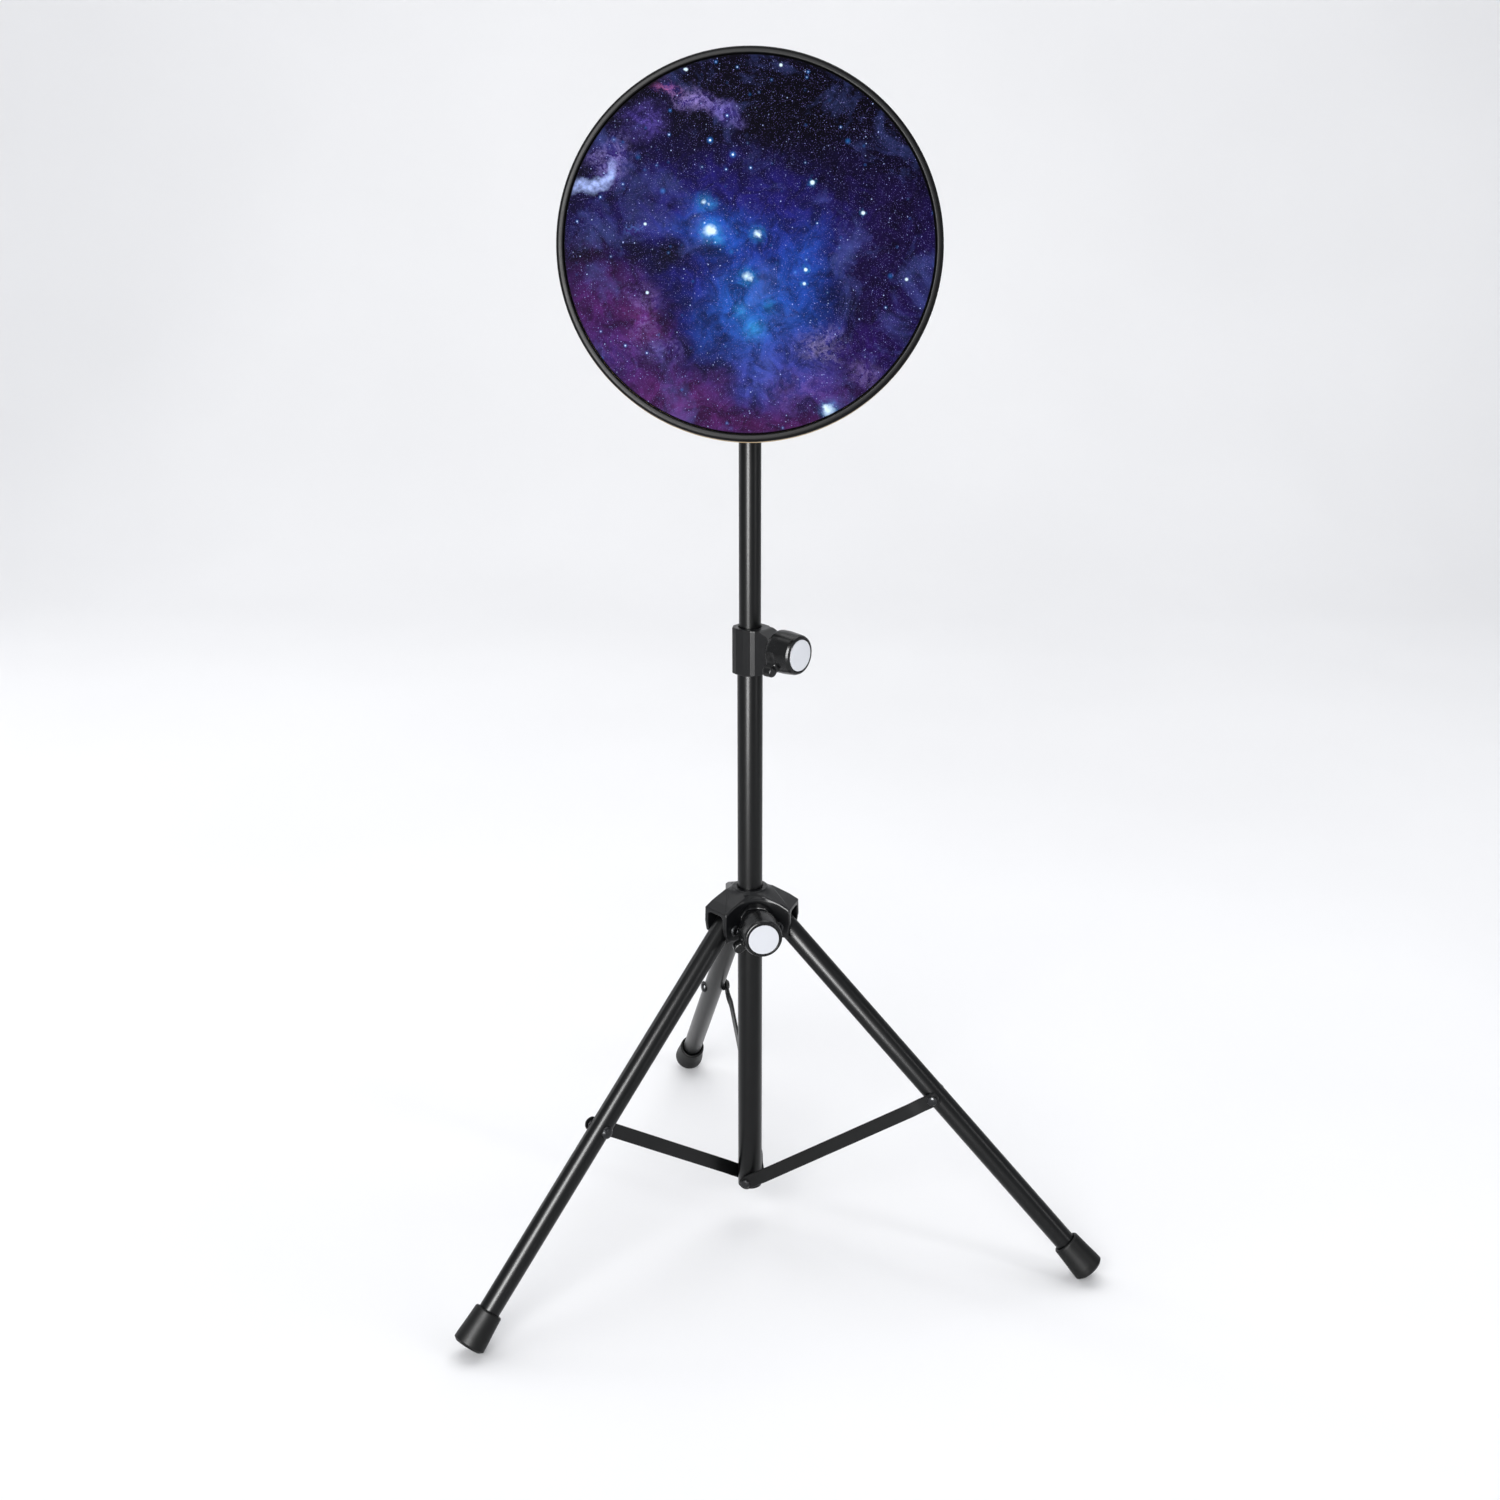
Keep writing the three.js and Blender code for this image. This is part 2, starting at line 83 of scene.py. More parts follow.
PIN = {s: Vector(JOINT[f"leg_{s}_fold"]["pos_m"]) for s in SIDES}
LEG_AZ = {s: azimuth(PIN[s] - AXIS) for s in SIDES}
RADIAL = {s: STAND @ Rz(LEG_AZ[s]) for s in SIDES}
LEG = {s: Matrix.Translation(PIN[s]) @ Rz(LEG_AZ[s]) @ Ry(-SPLAY) for s in SIDES}
sr = HUB_PIVOT_R + STRUT_ON_LEG * math.sin(SPLAY)
sz = HUB_PIVOT_Z - STRUT_ON_LEG * math.cos(SPLAY) - STRUT_Z
STRUT_LEN, STRUT_LEAN = math.hypot(sr, sz), math.atan2(sr, sz)
STRUT = {s: Matrix.Translation(Vector(JOINT[f"strut_{s}_fold"]["pos_m"])) @ Rz(LEG_AZ[s]) @ Ry(STRUT_LEAN) for s in SIDES}
# knobs: +Z along the knob's axis, the origin where that axis meets the column's line
KNOB = {}
for _k in ("height", "hub", "tilt"):
    _j = JOINT[f"{_k}_knob_turn"]
    KNOB[_k] = T(AXIS.x, AXIS.y, _j["pos_m"][2]) @ Rz(azimuth(_j["axis"])) @ Ry(math.pi / 2)
KNOB_BACK = {"height": 29.0, "hub": 31.5, "tilt": 9.6}


# ------------------------------------------------------------------ mesh code
def make_mesh(name, verts, faces, sharp=None):
    me = bpy.data.meshes.new(name)
    me.from_pydata([tuple(v) for v in verts], [], [tuple(f) for f in faces])
    me.validate()
    me.update()
    for p in me.polygons:
        p.use_smooth = True
    if sharp is not None:
        me.set_sharp_from_angle(angle=math.radians(sharp))
    return me


def fast_mesh(name, V, Q):
    """A mesh of quads from numpy arrays."""
    me = bpy.data.meshes.new(name)
    me.vertices.add(len(V))
    me.vertices.foreach_set("co", np.asarray(V, np.float32).ravel())
    me.loops.add(len(Q) * 4)
    me.loops.foreach_set("vertex_index", np.asarray(Q, np.int32).ravel())
    me.polygons.add(len(Q))
    me.polygons.foreach_set("loop_start", np.arange(0, len(Q) * 4, 4, dtype=np.int32))
    me.update(calc_edges=True)
    me.validate()
    me.polygons.foreach_set("use_smooth", np.ones(len(Q), bool))
    return me


MADE = {}


def place(name, mesh, matrix, material, body, *replaced, slot=None):
    o = bpy.data.objects.new(name, mesh)
    bpy.context.scene.collection.objects.link(o)
    o.matrix_world = matrix
    if not o.data.materials:
        o.data.materials.append(material)
    if replaced:
        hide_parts(*replaced)
    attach(o, body)
    MADE[name] = o
    return o


def rounded(points, radius, steps=4, closed=False):
    """A polyline with its corners turned into arcs. A point may carry its own radius as a third value."""
    out = []
    n = len(points)
    for i, p in enumerate(points):
        r = p[2] if len(p) > 2 else radius
        p = np.array(p[:2], float)
        if (not closed and i in (0, n - 1)) or r <= 0:
            out.append(tuple(p))
            continue
        a = np.array(points[i - 1][:2], float) - p
        b = np.array(points[(i + 1) % n][:2], float) - p
        la, lb = np.linalg.norm(a), np.linalg.norm(b)
        if la < 1e-9 or lb < 1e-9:
            continue
        a, b = a / la, b / lb
        ang = math.acos(max(-1, min(1, float(a @ b))))
        if ang > math.pi - 0.02:
            out.append(tuple(p))
            continue
        t = min(r / math.tan(ang / 2), 0.49 * la, 0.49 * lb)
        rr = t * math.tan(ang / 2)
        bis = (a + b) / np.linalg.norm(a + b)
        c = p + bis * (rr / math.sin(ang / 2))
        p0, p1 = p + a * t, p + b * t
        v0, v1 = p0 - c, p1 - c
        th = math.acos(max(-1, min(1, float(v0 @ v1) / (rr * rr + 1e-12))))
        for k in range(steps + 1):
            f = k / steps
            v = (math.sin((1 - f) * th) * v0 + math.sin(f * th) * v1) / (math.sin(th) + 1e-12)
            out.append(tuple(c + v))
    return out


def revolve(name, profile, seg=96, radius=0.0, closed=False, steps=4, sharp=35):
    """Turns [r, z] points in millimetres about +Z."""
    pts = rounded(profile, radius, steps, closed) if radius or any(len(p) > 2 for p in profile) else [tuple(p[:2]) for p in profile]
    V, F, rings = [], [], []
    for r, z in pts:
        if r < 1e-6:
            rings.append([len(V)])
            V.append((0, 0, z * MM))
        else:
            start = len(V)
            for k in range(seg):
                a = 2 * math.pi * k / seg
                V.append((r * math.cos(a) * MM, r * math.sin(a) * MM, z * MM))
            rings.append(list(range(start, start + seg)))
    pairs = list(zip(rings, rings[1:])) + ([(rings[-1], rings[0])] if closed else [])
    for A, B in pairs:
        if len(A) == 1 and len(B) == 1:
            continue
        for k in range(seg):
            k2 = (k + 1) % seg
            if len(A) == 1:
                F.append((A[0], B[k2], B[k]))
            elif len(B) == 1:
                F.append((A[k], A[k2], B[0]))
            else:
                F.append((A[k], A[k2], B[k2], B[k]))
    me = make_mesh(name, V, F, None)
    import bmesh
    bm = bmesh.new()
    bm.from_mesh(me)
    bmesh.ops.recalc_face_normals(bm, faces=bm.faces)
    bm.to_mesh(me)
    bm.free()
    me.set_sharp_from_angle(angle=math.radians(sharp))
    return me


def threaded(name, r, z0, z1, pitch, depth, seg=40, tip=0.8):
    """A screw thread as real geometry: a helical V cut in a rod along +Z, with a chamfered tip at z1."""
    rows = int((z1 - z0) / pitch * 10)
    V, Q = [], []
    for i in range(rows + 1):
        z = z0 + (z1 - z0) * i / rows
        for k in range(seg):
            a = 2 * math.pi * k / seg
            ph = (z / pitch - k / seg) % 1.0
            tri = abs(ph - 0.5) * 2
            rr = r - depth * min(1, max(0, (1 - tri) * 1.25 - 0.1))
            rr = min(rr, r - max(0, z - (z1 - tip)) * 0.9)
            V.append((rr * math.cos(a) * MM, rr * math.sin(a) * MM, z * MM))
    F = [(i * seg + k, i * seg + (k + 1) % seg, (i + 1) * seg + (k + 1) % seg, (i + 1) * seg + k) for i in range(rows) for k in range(seg)]
    F += [tuple(reversed(range(seg))), tuple(range(rows * seg, (rows + 1) * seg))]
    return make_mesh(name, V, F, 38)


# distance fields for moulded and pressed pieces: millimetres in, millimetres out
def length(v):
    return np.sqrt((v * v).sum(-1))


def d_box(P, c, h, r=0.0):
    q = np.abs(P - np.array(c, float)) - (np.array(h, float) - r)
    return length(np.maximum(q, 0)) + np.minimum(q.max(-1), 0) - r


def d_poly(x, y, pts):
    """Signed distance to a polygon in the plane."""
    d = np.full(x.shape, 1e18)
    s = np.ones(x.shape)
    n = len(pts)
    for i in range(n):
        x0, y0 = pts[i]
        x1, y1 = pts[i - 1]
        ex, ey = x1 - x0, y1 - y0
        wx, wy = x - x0, y - y0
        t = np.clip((wx * ex + wy * ey) / (ex * ex + ey * ey), 0, 1)
        d = np.minimum(d, (wx - ex * t) ** 2 + (wy - ey * t) ** 2)
        c1, c2, c3 = y >= y0, y < y1, ex * wy > ey * wx
        flip = (c1 & c2 & c3) | (~c1 & ~c2 & ~c3)
        s = np.where(flip, -s, s)
    return s * np.sqrt(d)


def d_extrude(d2, w, h, r=0.0):
    a, b = d2 + r, np.abs(w) - (h - r)
    return np.minimum(np.maximum(a, b), 0) + np.sqrt(np.maximum(a, 0) ** 2 + np.maximum(b, 0) ** 2) - r


def d_rod(P, r, z0, z1, rnd=0.0):
    return d_extrude(np.sqrt(P[..., 0] ** 2 + P[..., 1] ** 2) - r, P[..., 2] - (z0 + z1) / 2, (z1 - z0) / 2, rnd)


def d_turned(P, profile, rnd=0.0):
    rr = np.sqrt(P[..., 0] ** 2 + P[..., 1] ** 2)
    return d_poly(rr, P[..., 2], [(r, z) for r, z in profile]) - rnd


def smin(a, b, k):
    if k <= 0:
        return np.minimum(a, b)
    h = np.clip(0.5 + 0.5 * (b - a) / k, 0, 1)
    return b * (1 - h) + a * h - k * h * (1 - h)


def smax(a, b, k):
    return -smin(-a, -b, k)


def spin(P, a):
    """Points seen from a frame turned by a about +Z."""
    c, s = math.cos(a), math.sin(a)
    return np.stack([P[..., 0] * c + P[..., 1] * s, -P[..., 0] * s + P[..., 1] * c, P[..., 2]], -1)


def to_x(P):
    """Points seen so that +X becomes the new +Z."""
    return np.stack([-P[..., 2], P[..., 1], P[..., 0]], -1)


def to_y(P):
    """Points seen so that +Y becomes the new +Z."""
    return np.stack([P[..., 0], -P[..., 2], P[..., 1]], -1)


def skin(name, f, lo, hi, h):
    """Polygonises the zero surface of f with a dual grid, and settles every vertex on the surface."""
    lo, hi = np.array(lo, float) - 1.5 * h, np.array(hi, float) + 1.5 * h
    n = np.ceil((hi - lo) / h).astype(int) + 1
    ax = [lo[i] + h * np.arange(n[i]) for i in range(3)]
    G = np.empty(tuple(n))
    step = max(1, int(400000 / (n[1] * n[2])))
    for i in range(0, n[0], step):
        X, Y, Z = np.meshgrid(ax[0][i : i + step], ax[1], ax[2], indexing="ij")
        G[i : i + step] = f(np.stack([X, Y, Z], -1))
    G[np.abs(G) < 1e-9] = 1e-9
    S = G < 0
    c = n - 1
    acc, cnt = np.zeros((*c, 3)), np.zeros(tuple(c))
    crossings = {}
    for d in range(3):
        e = [slice(None)] * 3
        e2 = [slice(None)] * 3
        e[d], e2[d] = slice(0, -1), slice(1, None)
        a, b = G[tuple(e)], G[tuple(e2)]
        cross = S[tuple(e)] != S[tuple(e2)]
        crossings[d] = cross
        idx = np.argwhere(cross)
        if not len(idx):
            continue
        t = a[cross] / (a[cross] - b[cross])
        p = idx.astype(float)
        p[:, d] += t
        o = [k for k in range(3) if k != d]
        for da in (0, 1):
            for db in (0, 1):
                cell = idx.copy()
                cell[:, o[0]] -= da
                cell[:, o[1]] -= db
                ok = ((cell >= 0) & (cell < c)).all(1)
                np.add.at(acc, tuple(cell[ok].T), p[ok])
                np.add.at(cnt, tuple(cell[ok].T), 1)
    used = cnt > 0
    ids = -np.ones(tuple(c), int)
    ids[used] = np.arange(used.sum())
    V = lo + h * acc[used] / cnt[used][:, None]
    Q = []
    for d in range(3):
        idx = np.argwhere(crossings[d])
        if not len(idx):
            continue
        o = [(d + 1) % 3, (d + 2) % 3]
        quads = []
        for da, db in ((1, 1), (0, 1), (0, 0), (1, 0)):
            cell = idx.copy()
            cell[:, o[0]] -= da
            cell[:, o[1]] -= db
            cell = np.clip(cell, 0, c - 1)
            quads.append(ids[tuple(cell.T)])
        q = np.stack(quads, 1)
        inside = S[tuple(idx.T)]
        q[~inside] = q[~inside][:, ::-1]
        Q.append(q[(q >= 0).all(1)])
    Q = np.concatenate(Q)
    for _ in range(3):
        d = f(V)
        g = np.stack([f(V + np.eye(3)[k] * 0.05 * h) - f(V - np.eye(3)[k] * 0.05 * h) for k in range(3)], -1) / (0.1 * h)
        V = V - g * np.clip(d / ((g * g).sum(-1) + 1e-9), -0.5 * h, 0.5 * h)[:, None]
    a, b, c2, d2 = (V[Q[:, k]] for k in range(4))
    vol = np.einsum("ij,ij->i", a, np.cross(b, c2)).sum() + np.einsum("ij,ij->i", a, np.cross(c2, d2)).sum()
    if vol < 0:
        Q = Q[:, ::-1]
    return fast_mesh(name, V * MM, Q)


# ------------------------------------------------------------------ materials
def srgb(hexa):
    v = [int(hexa[i : i + 2], 16) / 255 for i in (1, 3, 5)]
    return tuple(c / 12.92 if c <= 0.04045 else ((c + 0.055) / 1.055) ** 2.4 for c in v) + (1.0,)


class Nodes:
    """Small helper that adds and links nodes of one material."""

    def __init__(self, name):
        self.mat = bpy.data.materials.new(name)
        self.mat.use_nodes = True
        self.t = self.mat.node_tree
        self.t.nodes.clear()
        self.out = self.t.nodes.new("ShaderNodeOutputMaterial")
        self.p = self.t.nodes.new("ShaderNodeBsdfPrincipled")
        self.t.links.new(self.p.outputs[0], self.out.inputs[0])
        self.coord = self.t.nodes.new("ShaderNodeTexCoord").outputs["Object"]

    def put(self, value, socket):
        if isinstance(value, bpy.types.NodeSocket):
            self.t.links.new(value, socket)
        else:
            socket.default_value = value

    def math(self, op, a, b=0.0, c=0.0, clamp=False):
        n = self.t.nodes.new("ShaderNodeMath")
        n.operation = op
        n.use_clamp = clamp
        for v, s in zip((a, b, c), n.inputs):
            self.put(v, s)
        return n.outputs[0]

    def vec(self, op, a, b=(0, 0, 0)):
        n = self.t.nodes.new("ShaderNodeVectorMath")
        n.operation = op
        self.put(a, n.inputs[0])
        if op == "SCALE":
            self.put(b, n.inputs["Scale"])
        else:
            self.put(b, n.inputs[1])
        return n.outputs["Value"] if op in ("LENGTH", "DISTANCE", "DOT_PRODUCT") else n.outputs["Vector"]

    def noise(self, vector, scale, detail=4.0, rough=0.55, distortion=0.0, colour=False):
        n = self.t.nodes.new("ShaderNodeTexNoise")
        self.put(vector, n.inputs["Vector"])
        n.inputs["Scale"].default_value = scale
        n.inputs["Detail"].default_value = detail
        n.inputs["Roughness"].default_value = rough
        n.inputs["Distortion"].default_value = distortion
        return n.outputs["Color" if colour else 0]

    def voronoi(self, vector, scale):
        n = self.t.nodes.new("ShaderNodeTexVoronoi")
        self.put(vector, n.inputs["Vector"])
        n.inputs["Scale"].default_value = scale
        return n.outputs["Distance"], n.outputs["Color"]

    def remap(self, v, a, b, c=0.0, d=1.0, smooth=False):
        n = self.t.nodes.new("ShaderNodeMapRange")
        if smooth:
            n.interpolation_type = "SMOOTHSTEP"
        for val, s in zip((v, a, b, c, d), (n.inputs[0], n.inputs[1], n.inputs[2], n.inputs[3], n.inputs[4])):
            self.put(val, s)
        return n.outputs[0]

    def mix(self, f, a, b, mode="MIX"):
        n = self.t.nodes.new("ShaderNodeMix")
        n.data_type = "RGBA"
        n.blend_type = mode
        n.clamp_factor = True
        self.put(f, n.inputs[0])
        self.put(a, n.inputs[6])
        self.put(b, n.inputs[7])
        return n.outputs[2]

    def bump(self, height, distance, strength=1.0):
        n = self.t.nodes.new("ShaderNodeBump")
        self.put(height, n.inputs["Height"])
        n.inputs["Distance"].default_value = distance
        n.inputs["Strength"].default_value = strength
        self.t.links.new(n.outputs[0], self.p.inputs["Normal"])


def finish(name, colour, rough, spread=0.06, metal=0.0, spec=0.5, grain=900.0, depth=0.00002, mottling=0.18, patch=35.0, coat=0.0):
    """A worn-in, never perfectly even finish: colour mottling, roughness patches and a fine surface grain."""
    m = Nodes(name)
    c = srgb(colour)
    big = m.noise(m.coord, patch, 3, 0.6)
    dark = tuple(v * (1 - mottling) for v in c[:3]) + (1.0,)
    light = tuple(min(1, v * (1 + mottling)) for v in c[:3]) + (1.0,)
    m.put(m.mix(m.remap(big, 0.3, 0.7), dark, light), m.p.inputs["Base Color"])
    fine = m.noise(m.coord, patch * 9, 3, 0.6)
    m.put(m.remap(m.math("MULTIPLY_ADD", fine, 0.4, m.math("MULTIPLY", big, 0.6)), 0.3, 0.7, rough - spread, rough + spread), m.p.inputs["Roughness"])
    m.p.inputs["Metallic"].default_value = metal
    m.p.inputs["Specular IOR Level"].default_value = spec
    if coat:
        m.p.inputs["Coat Weight"].default_value = coat
        m.p.inputs["Coat Roughness"].default_value = 0.2
    if depth:
        m.bump(m.noise(m.coord, grain, 2, 0.5), depth)
    return m


M = {}
M["powder_coat"] = finish("powder_coat", "#08090a", 0.30, 0.015, spec=0.20, grain=1600, depth=0.0000008, patch=22).mat
M["black_bracket"] = finish("black_bracket", "#0e0f11", 0.36, 0.05, spec=0.24, grain=900, depth=0.000012).mat
M["black_plastic"] = finish("black_plastic", "#0d0e10", 0.33, 0.05, spec=0.24, grain=1500, depth=0.000008).mat
M["knob_plastic"] = finish("knob_plastic", "#090a0b", 0.27, 0.04, spec=0.26, grain=1700, depth=0.000004).mat
M["knob_disc"] = finish("knob_disc", "#d3d5da", 0.34, 0.04, spec=0.5, grain=900, depth=0.000006, mottling=0.015).mat
M["foot_rubber"] = finish("foot_rubber", "#0a0b0b", 0.46, 0.06, spec=0.16, grain=1100, depth=0.00003).mat
M["rim_rubber"] = finish("rim_rubber", "#050506", 0.40, 0.06, spec=0.10, grain=900, depth=0.00002).mat
M["non_slip"] = finish("non_slip", "#161617", 0.86, 0.05, spec=0.25, grain=260, depth=0.00035).mat
M["plated_steel"] = finish("plated_steel", "#9a9b9d", 0.30, 0.06, metal=1.0, grain=900, depth=0.00001).mat
M["dark_screw"] = finish("dark_screw", "#1a1b1c", 0.32, 0.06, metal=0.5, grain=900, depth=0.00001).mat
M["dark_nut"] = finish("dark_nut", "#55585b", 0.46, 0.08, metal=0.75, grain=1300, depth=0.00005, mottling=0.3, patch=160).mat
M["cast_nut"] = finish("cast_nut", "#303234", 0.55, 0.08, metal=0.5, grain=750, depth=0.00016, mottling=0.35, patch=220).mat
M["dark_rivet"] = finish("dark_rivet", "#222325", 0.26, 0.06, metal=0.6, grain=900, depth=0.00001).mat
M["brass"] = finish("brass_insert", "#a8894f", 0.36, 0.07, metal=1.0, grain=700, depth=0.00001).mat


def board_material():
    """Pressed fibre board: pale brown, with short fibres along its thickness-normal plane."""
    m = Nodes("base_board")
    fib = m.noise(m.vec("MULTIPLY", m.coord, (260, 260, 1400)), 1.0, 5, 0.7)
    speck = m.noise(m.coord, 900, 2, 0.7)
    c = m.mix(m.remap(fib, 0.3, 0.7), srgb("#a98a5f"), srgb("#cdb48b"))
    c = m.mix(m.remap(speck, 0.62, 0.72, 0, 0.6), c, srgb("#7a5f3c"))
    m.put(c, m.p.inputs["Base Color"])
    m.put(m.remap(fib, 0.3, 0.7, 0.72, 0.9), m.p.inputs["Roughness"])
    m.bump(fib, 0.0002)
    return m.mat


M["base_board"] = board_material()


def print_material():
    """The printed sheet: a night-sky picture of dust, glow and stars in the pad's own plane, x right and y up, radius 1."""
    m = Nodes("printed_rubber")
    q = m.vec("MULTIPLY", m.coord, (1 / 0.1524, 1 / 0.1524, 0))

    def warp(scale, amount, detail=4.0):
        n = m.noise(q, scale, detail, 0.6, colour=True)
        return m.vec("ADD", q, m.vec("SCALE", m.vec("SUBTRACT", n, (0.5, 0.5, 0.5)), amount))

    soft = warp(2.3, 0.55, 5)
    mid = warp(5.0, 0.22, 5)

    def patch(where, c, radii, inner=0.0, turn=0.0, strength=1.0):
        d = m.vec("SUBTRACT", where, (c[0], c[1], 0))
        if turn:
            ca, sa = math.cos(turn), math.sin(turn)
            x = m.vec("DOT_PRODUCT", d, (ca / radii[0], sa / radii[0], 0))
            y = m.vec("DOT_PRODUCT", d, (-sa / radii[1], ca / radii[1], 0))
            r = m.math("SQRT", m.math("MULTIPLY_ADD", x, x, m.math("MULTIPLY", y, y)))
        else:
            r = m.vec("LENGTH", m.vec("MULTIPLY", d, (1 / radii[0], 1 / radii[1], 0)))
        return m.remap(r, inner, 1.0, strength, 0.0, smooth=True)

    fbm = m.noise(q, 3.1, 8, 0.66, 0.6)
    fine = m.noise(q, 9.0, 8, 0.7, 0.8)
    col = m.mix(m.remap(fbm, 0.36, 0.66), srgb("#0b0822"), srgb("#1c1150"))
    for c, radii, colour, inner, strength in (
        ((-0.45, 0.22), (0.75, 0.50), "#1a1150", 0.1, 0.70),
        ((0.62, 0.02), (0.62, 0.70), "#1b0f3c", 0.1, 0.75),
        ((0.05, 0.12), (0.72, 0.42), "#26217a", 0.1, 0.85),
        ((-0.10, -0.10), (0.62, 0.55), "#272a8c", 0.0, 0.85),
        ((0.10, -0.28), (0.56, 0.52), "#1f45a4", 0.0, 0.95),
        ((0.02, -0.36), (0.36, 0.36), "#2b66c4", 0.0, 0.75),
        ((-0.16, 0.08), (0.30, 0.20), "#1f5cc0", 0.0, 0.70),
        ((0.30, -0.10), (0.16, 0.46), "#2550b4", 0.0, 0.60),
        ((-0.78, -0.34), (0.42, 0.42), "#4c1f60", 0.0, 0.95),
        ((-0.58, -0.58), (0.40, 0.30), "#4a2268", 0.0, 0.80),
        ((-0.36, -0.80), (0.50, 0.30), "#5c2768", 0.0, 0.90),
        ((0.16, -0.92), (0.55, 0.26), "#5a2560", 0.0, 0.85),
        ((0.50, -0.80), (0.42, 0.30), "#43205c", 0.0, 0.85),
        ((0.62, -0.52), (0.40, 0.36), "#2a1658", 0.0, 0.85),
        ((-0.56, -0.36), (0.22, 0.14), "#7a2f6c", 0.0, 0.55),
        ((0.10, -0.60), (0.50, 0.32), "#424cac", 0.0, 0.70),
    ):
        col = m.mix(patch(soft, c, radii, inner, 0.0, strength), col, srgb(colour))
    # the dark upper part, and dark dust lanes
    up = m.vec("DOT_PRODUCT", soft, (0.12, 1.0, 0))
    col = m.mix(m.remap(up, 0.20, 0.70, 0.0, 0.90, smooth=True), col, srgb("#06050f"))
    col = m.mix(patch(soft, (0.25, 0.74), (0.80, 0.42), 0.1, 0.0, 0.85), col, srgb("#05040b"))
    for c, radii, s in (((-0.42, -0.05), (0.22, 0.12), 0.9), ((-0.24, 0.0), (0.16, 0.08), 0.75), ((-0.60, 0.02), (0.18, 0.09), 0.6),
                        ((-0.34, -0.30), (0.20, 0.12), 0.55), ((0.52, -0.30), (0.26, 0.12), 0.5), ((-0.86, -0.02), (0.18, 0.16), 0.6)):
        col = m.mix(patch(mid, c, radii, 0.0, 0.0, s), col, srgb("#0a090e"))
    # cloud shading in the colour itself
    col = m.mix(m.remap(fine, 0.40, 0.62, 0.72, 0.0), col, srgb("#05040c"))
    col = m.mix(m.remap(fbm, 0.52, 0.72, 0.0, 0.22), col, srgb("#6b7fe0"), "SCREEN")

    # wisps: thin ridges of turbulent noise inside their own patches
    def ridge(scale, width, distortion=1.6, detail=9):
        n = m.noise(mid, scale, detail, 0.62, distortion)
        r = m.math("ABSOLUTE", m.math("SUBTRACT", n, 0.5))
        return m.remap(r, 0.0, width, 1.0, 0.0, smooth=True)

    r1, r2 = ridge(3.4, 0.055), ridge(7.5, 0.05, 2.2)
    both = m.math("MULTIPLY_ADD", r2, 0.65, m.math("MULTIPLY", r1, 0.75), clamp=True)
    grit = m.noise(q, 46.0, 4, 0.7)
    lit = m.math("MULTIPLY", m.math("MULTIPLY", both, m.remap(fine, 0.35, 0.62, 0.35, 1.0)), m.remap(grit, 0.34, 0.60, 0.30, 1.0))
    body = m.math("MULTIPLY", m.remap(fine, 0.38, 0.60, 0.15, 1.0), m.remap(grit, 0.3, 0.6, 0.6, 1.0))
    for c, radii, turn, colour, s in (
        ((-0.30, 0.75), (0.22, 0.085), -0.30, "#b9a4ee", 0.95),
        ((-0.13, 0.69), (0.16, 0.07), -0.45, "#8f84d8", 0.85),
        ((-0.41, 0.79), (0.12, 0.06), -0.1, "#d0608e", 0.75),
        ((-0.54, 0.63), (0.19, 0.11), 0.35, "#6a58b8", 0.85),
        ((-0.72, 0.43), (0.17, 0.13), 0.9, "#a89ce6", 0.85),
        ((-0.60, 0.11), (0.10, 0.05), 0.5, "#5f8fe0", 0.75),
        ((-0.55, -0.33), (0.12, 0.28), 0.2, "#9a7fc8", 0.55),
        ((-0.45, -0.54), (0.16, 0.12), 0.0, "#8a7cc6", 0.45),
        ((0.38, -0.50), (0.18, 0.16), 0.0, "#c3b4e2", 0.55),
        ((0.60, -0.65), (0.16, 0.10), 0.0, "#a790cf", 0.50),
        ((0.26, -0.72), (0.30, 0.14), 0.0, "#8a66b4", 0.40),
        ((-0.70, -0.55), (0.26, 0.18), 0.0, "#7d4a92", 0.45),
    ):
        where = patch(mid, c, radii, 0.0, turn, s)
        col = m.mix(m.math("MULTIPLY", m.math("MULTIPLY", where, body), 0.7), col, srgb("#46358f"))
        col = m.mix(m.math("MULTIPLY", m.math("MULTIPLY", lit, where), 0.85), col, srgb(colour))
    # the pale crescent at the left edge
    arc = m.math("ABSOLUTE", m.math("SUBTRACT", m.vec("DISTANCE", mid, (-0.86, 0.44, 0)), 0.150))
    cres = m.math("MULTIPLY", m.remap(arc, 0.0, 0.042, 1.0, 0.0, smooth=True), patch(mid, (-0.80, 0.32), (0.20, 0.13), 0.35, 0.5, 1.0))
    cres = m.math("MULTIPLY", cres, m.math("MULTIPLY", m.remap(fine, 0.34, 0.56, 0.45, 1.0), m.remap(grit, 0.32, 0.58, 0.5, 1.0)), clamp=True)
    col = m.mix(cres, col, srgb("#a9bcf6"))

    # glows and named bright stars
    shaken = m.vec("SUBTRACT", m.noise(q, 34.0, 4, 0.65, colour=True), (0.5, 0.5, 0.5))

    def glow(items, gain, shake):
        total = 0.0
        at = m.vec("ADD", q, m.vec("SCALE", shaken, shake))
        for x, y, r, s in items:
            d = m.vec("DISTANCE", at, (x, y, 0))
            g = m.math("POWER", m.remap(d, 0.0, r, 1.0, 0.0), gain)
            total = m.math("MULTIPLY_ADD", g, s, total)
        return total

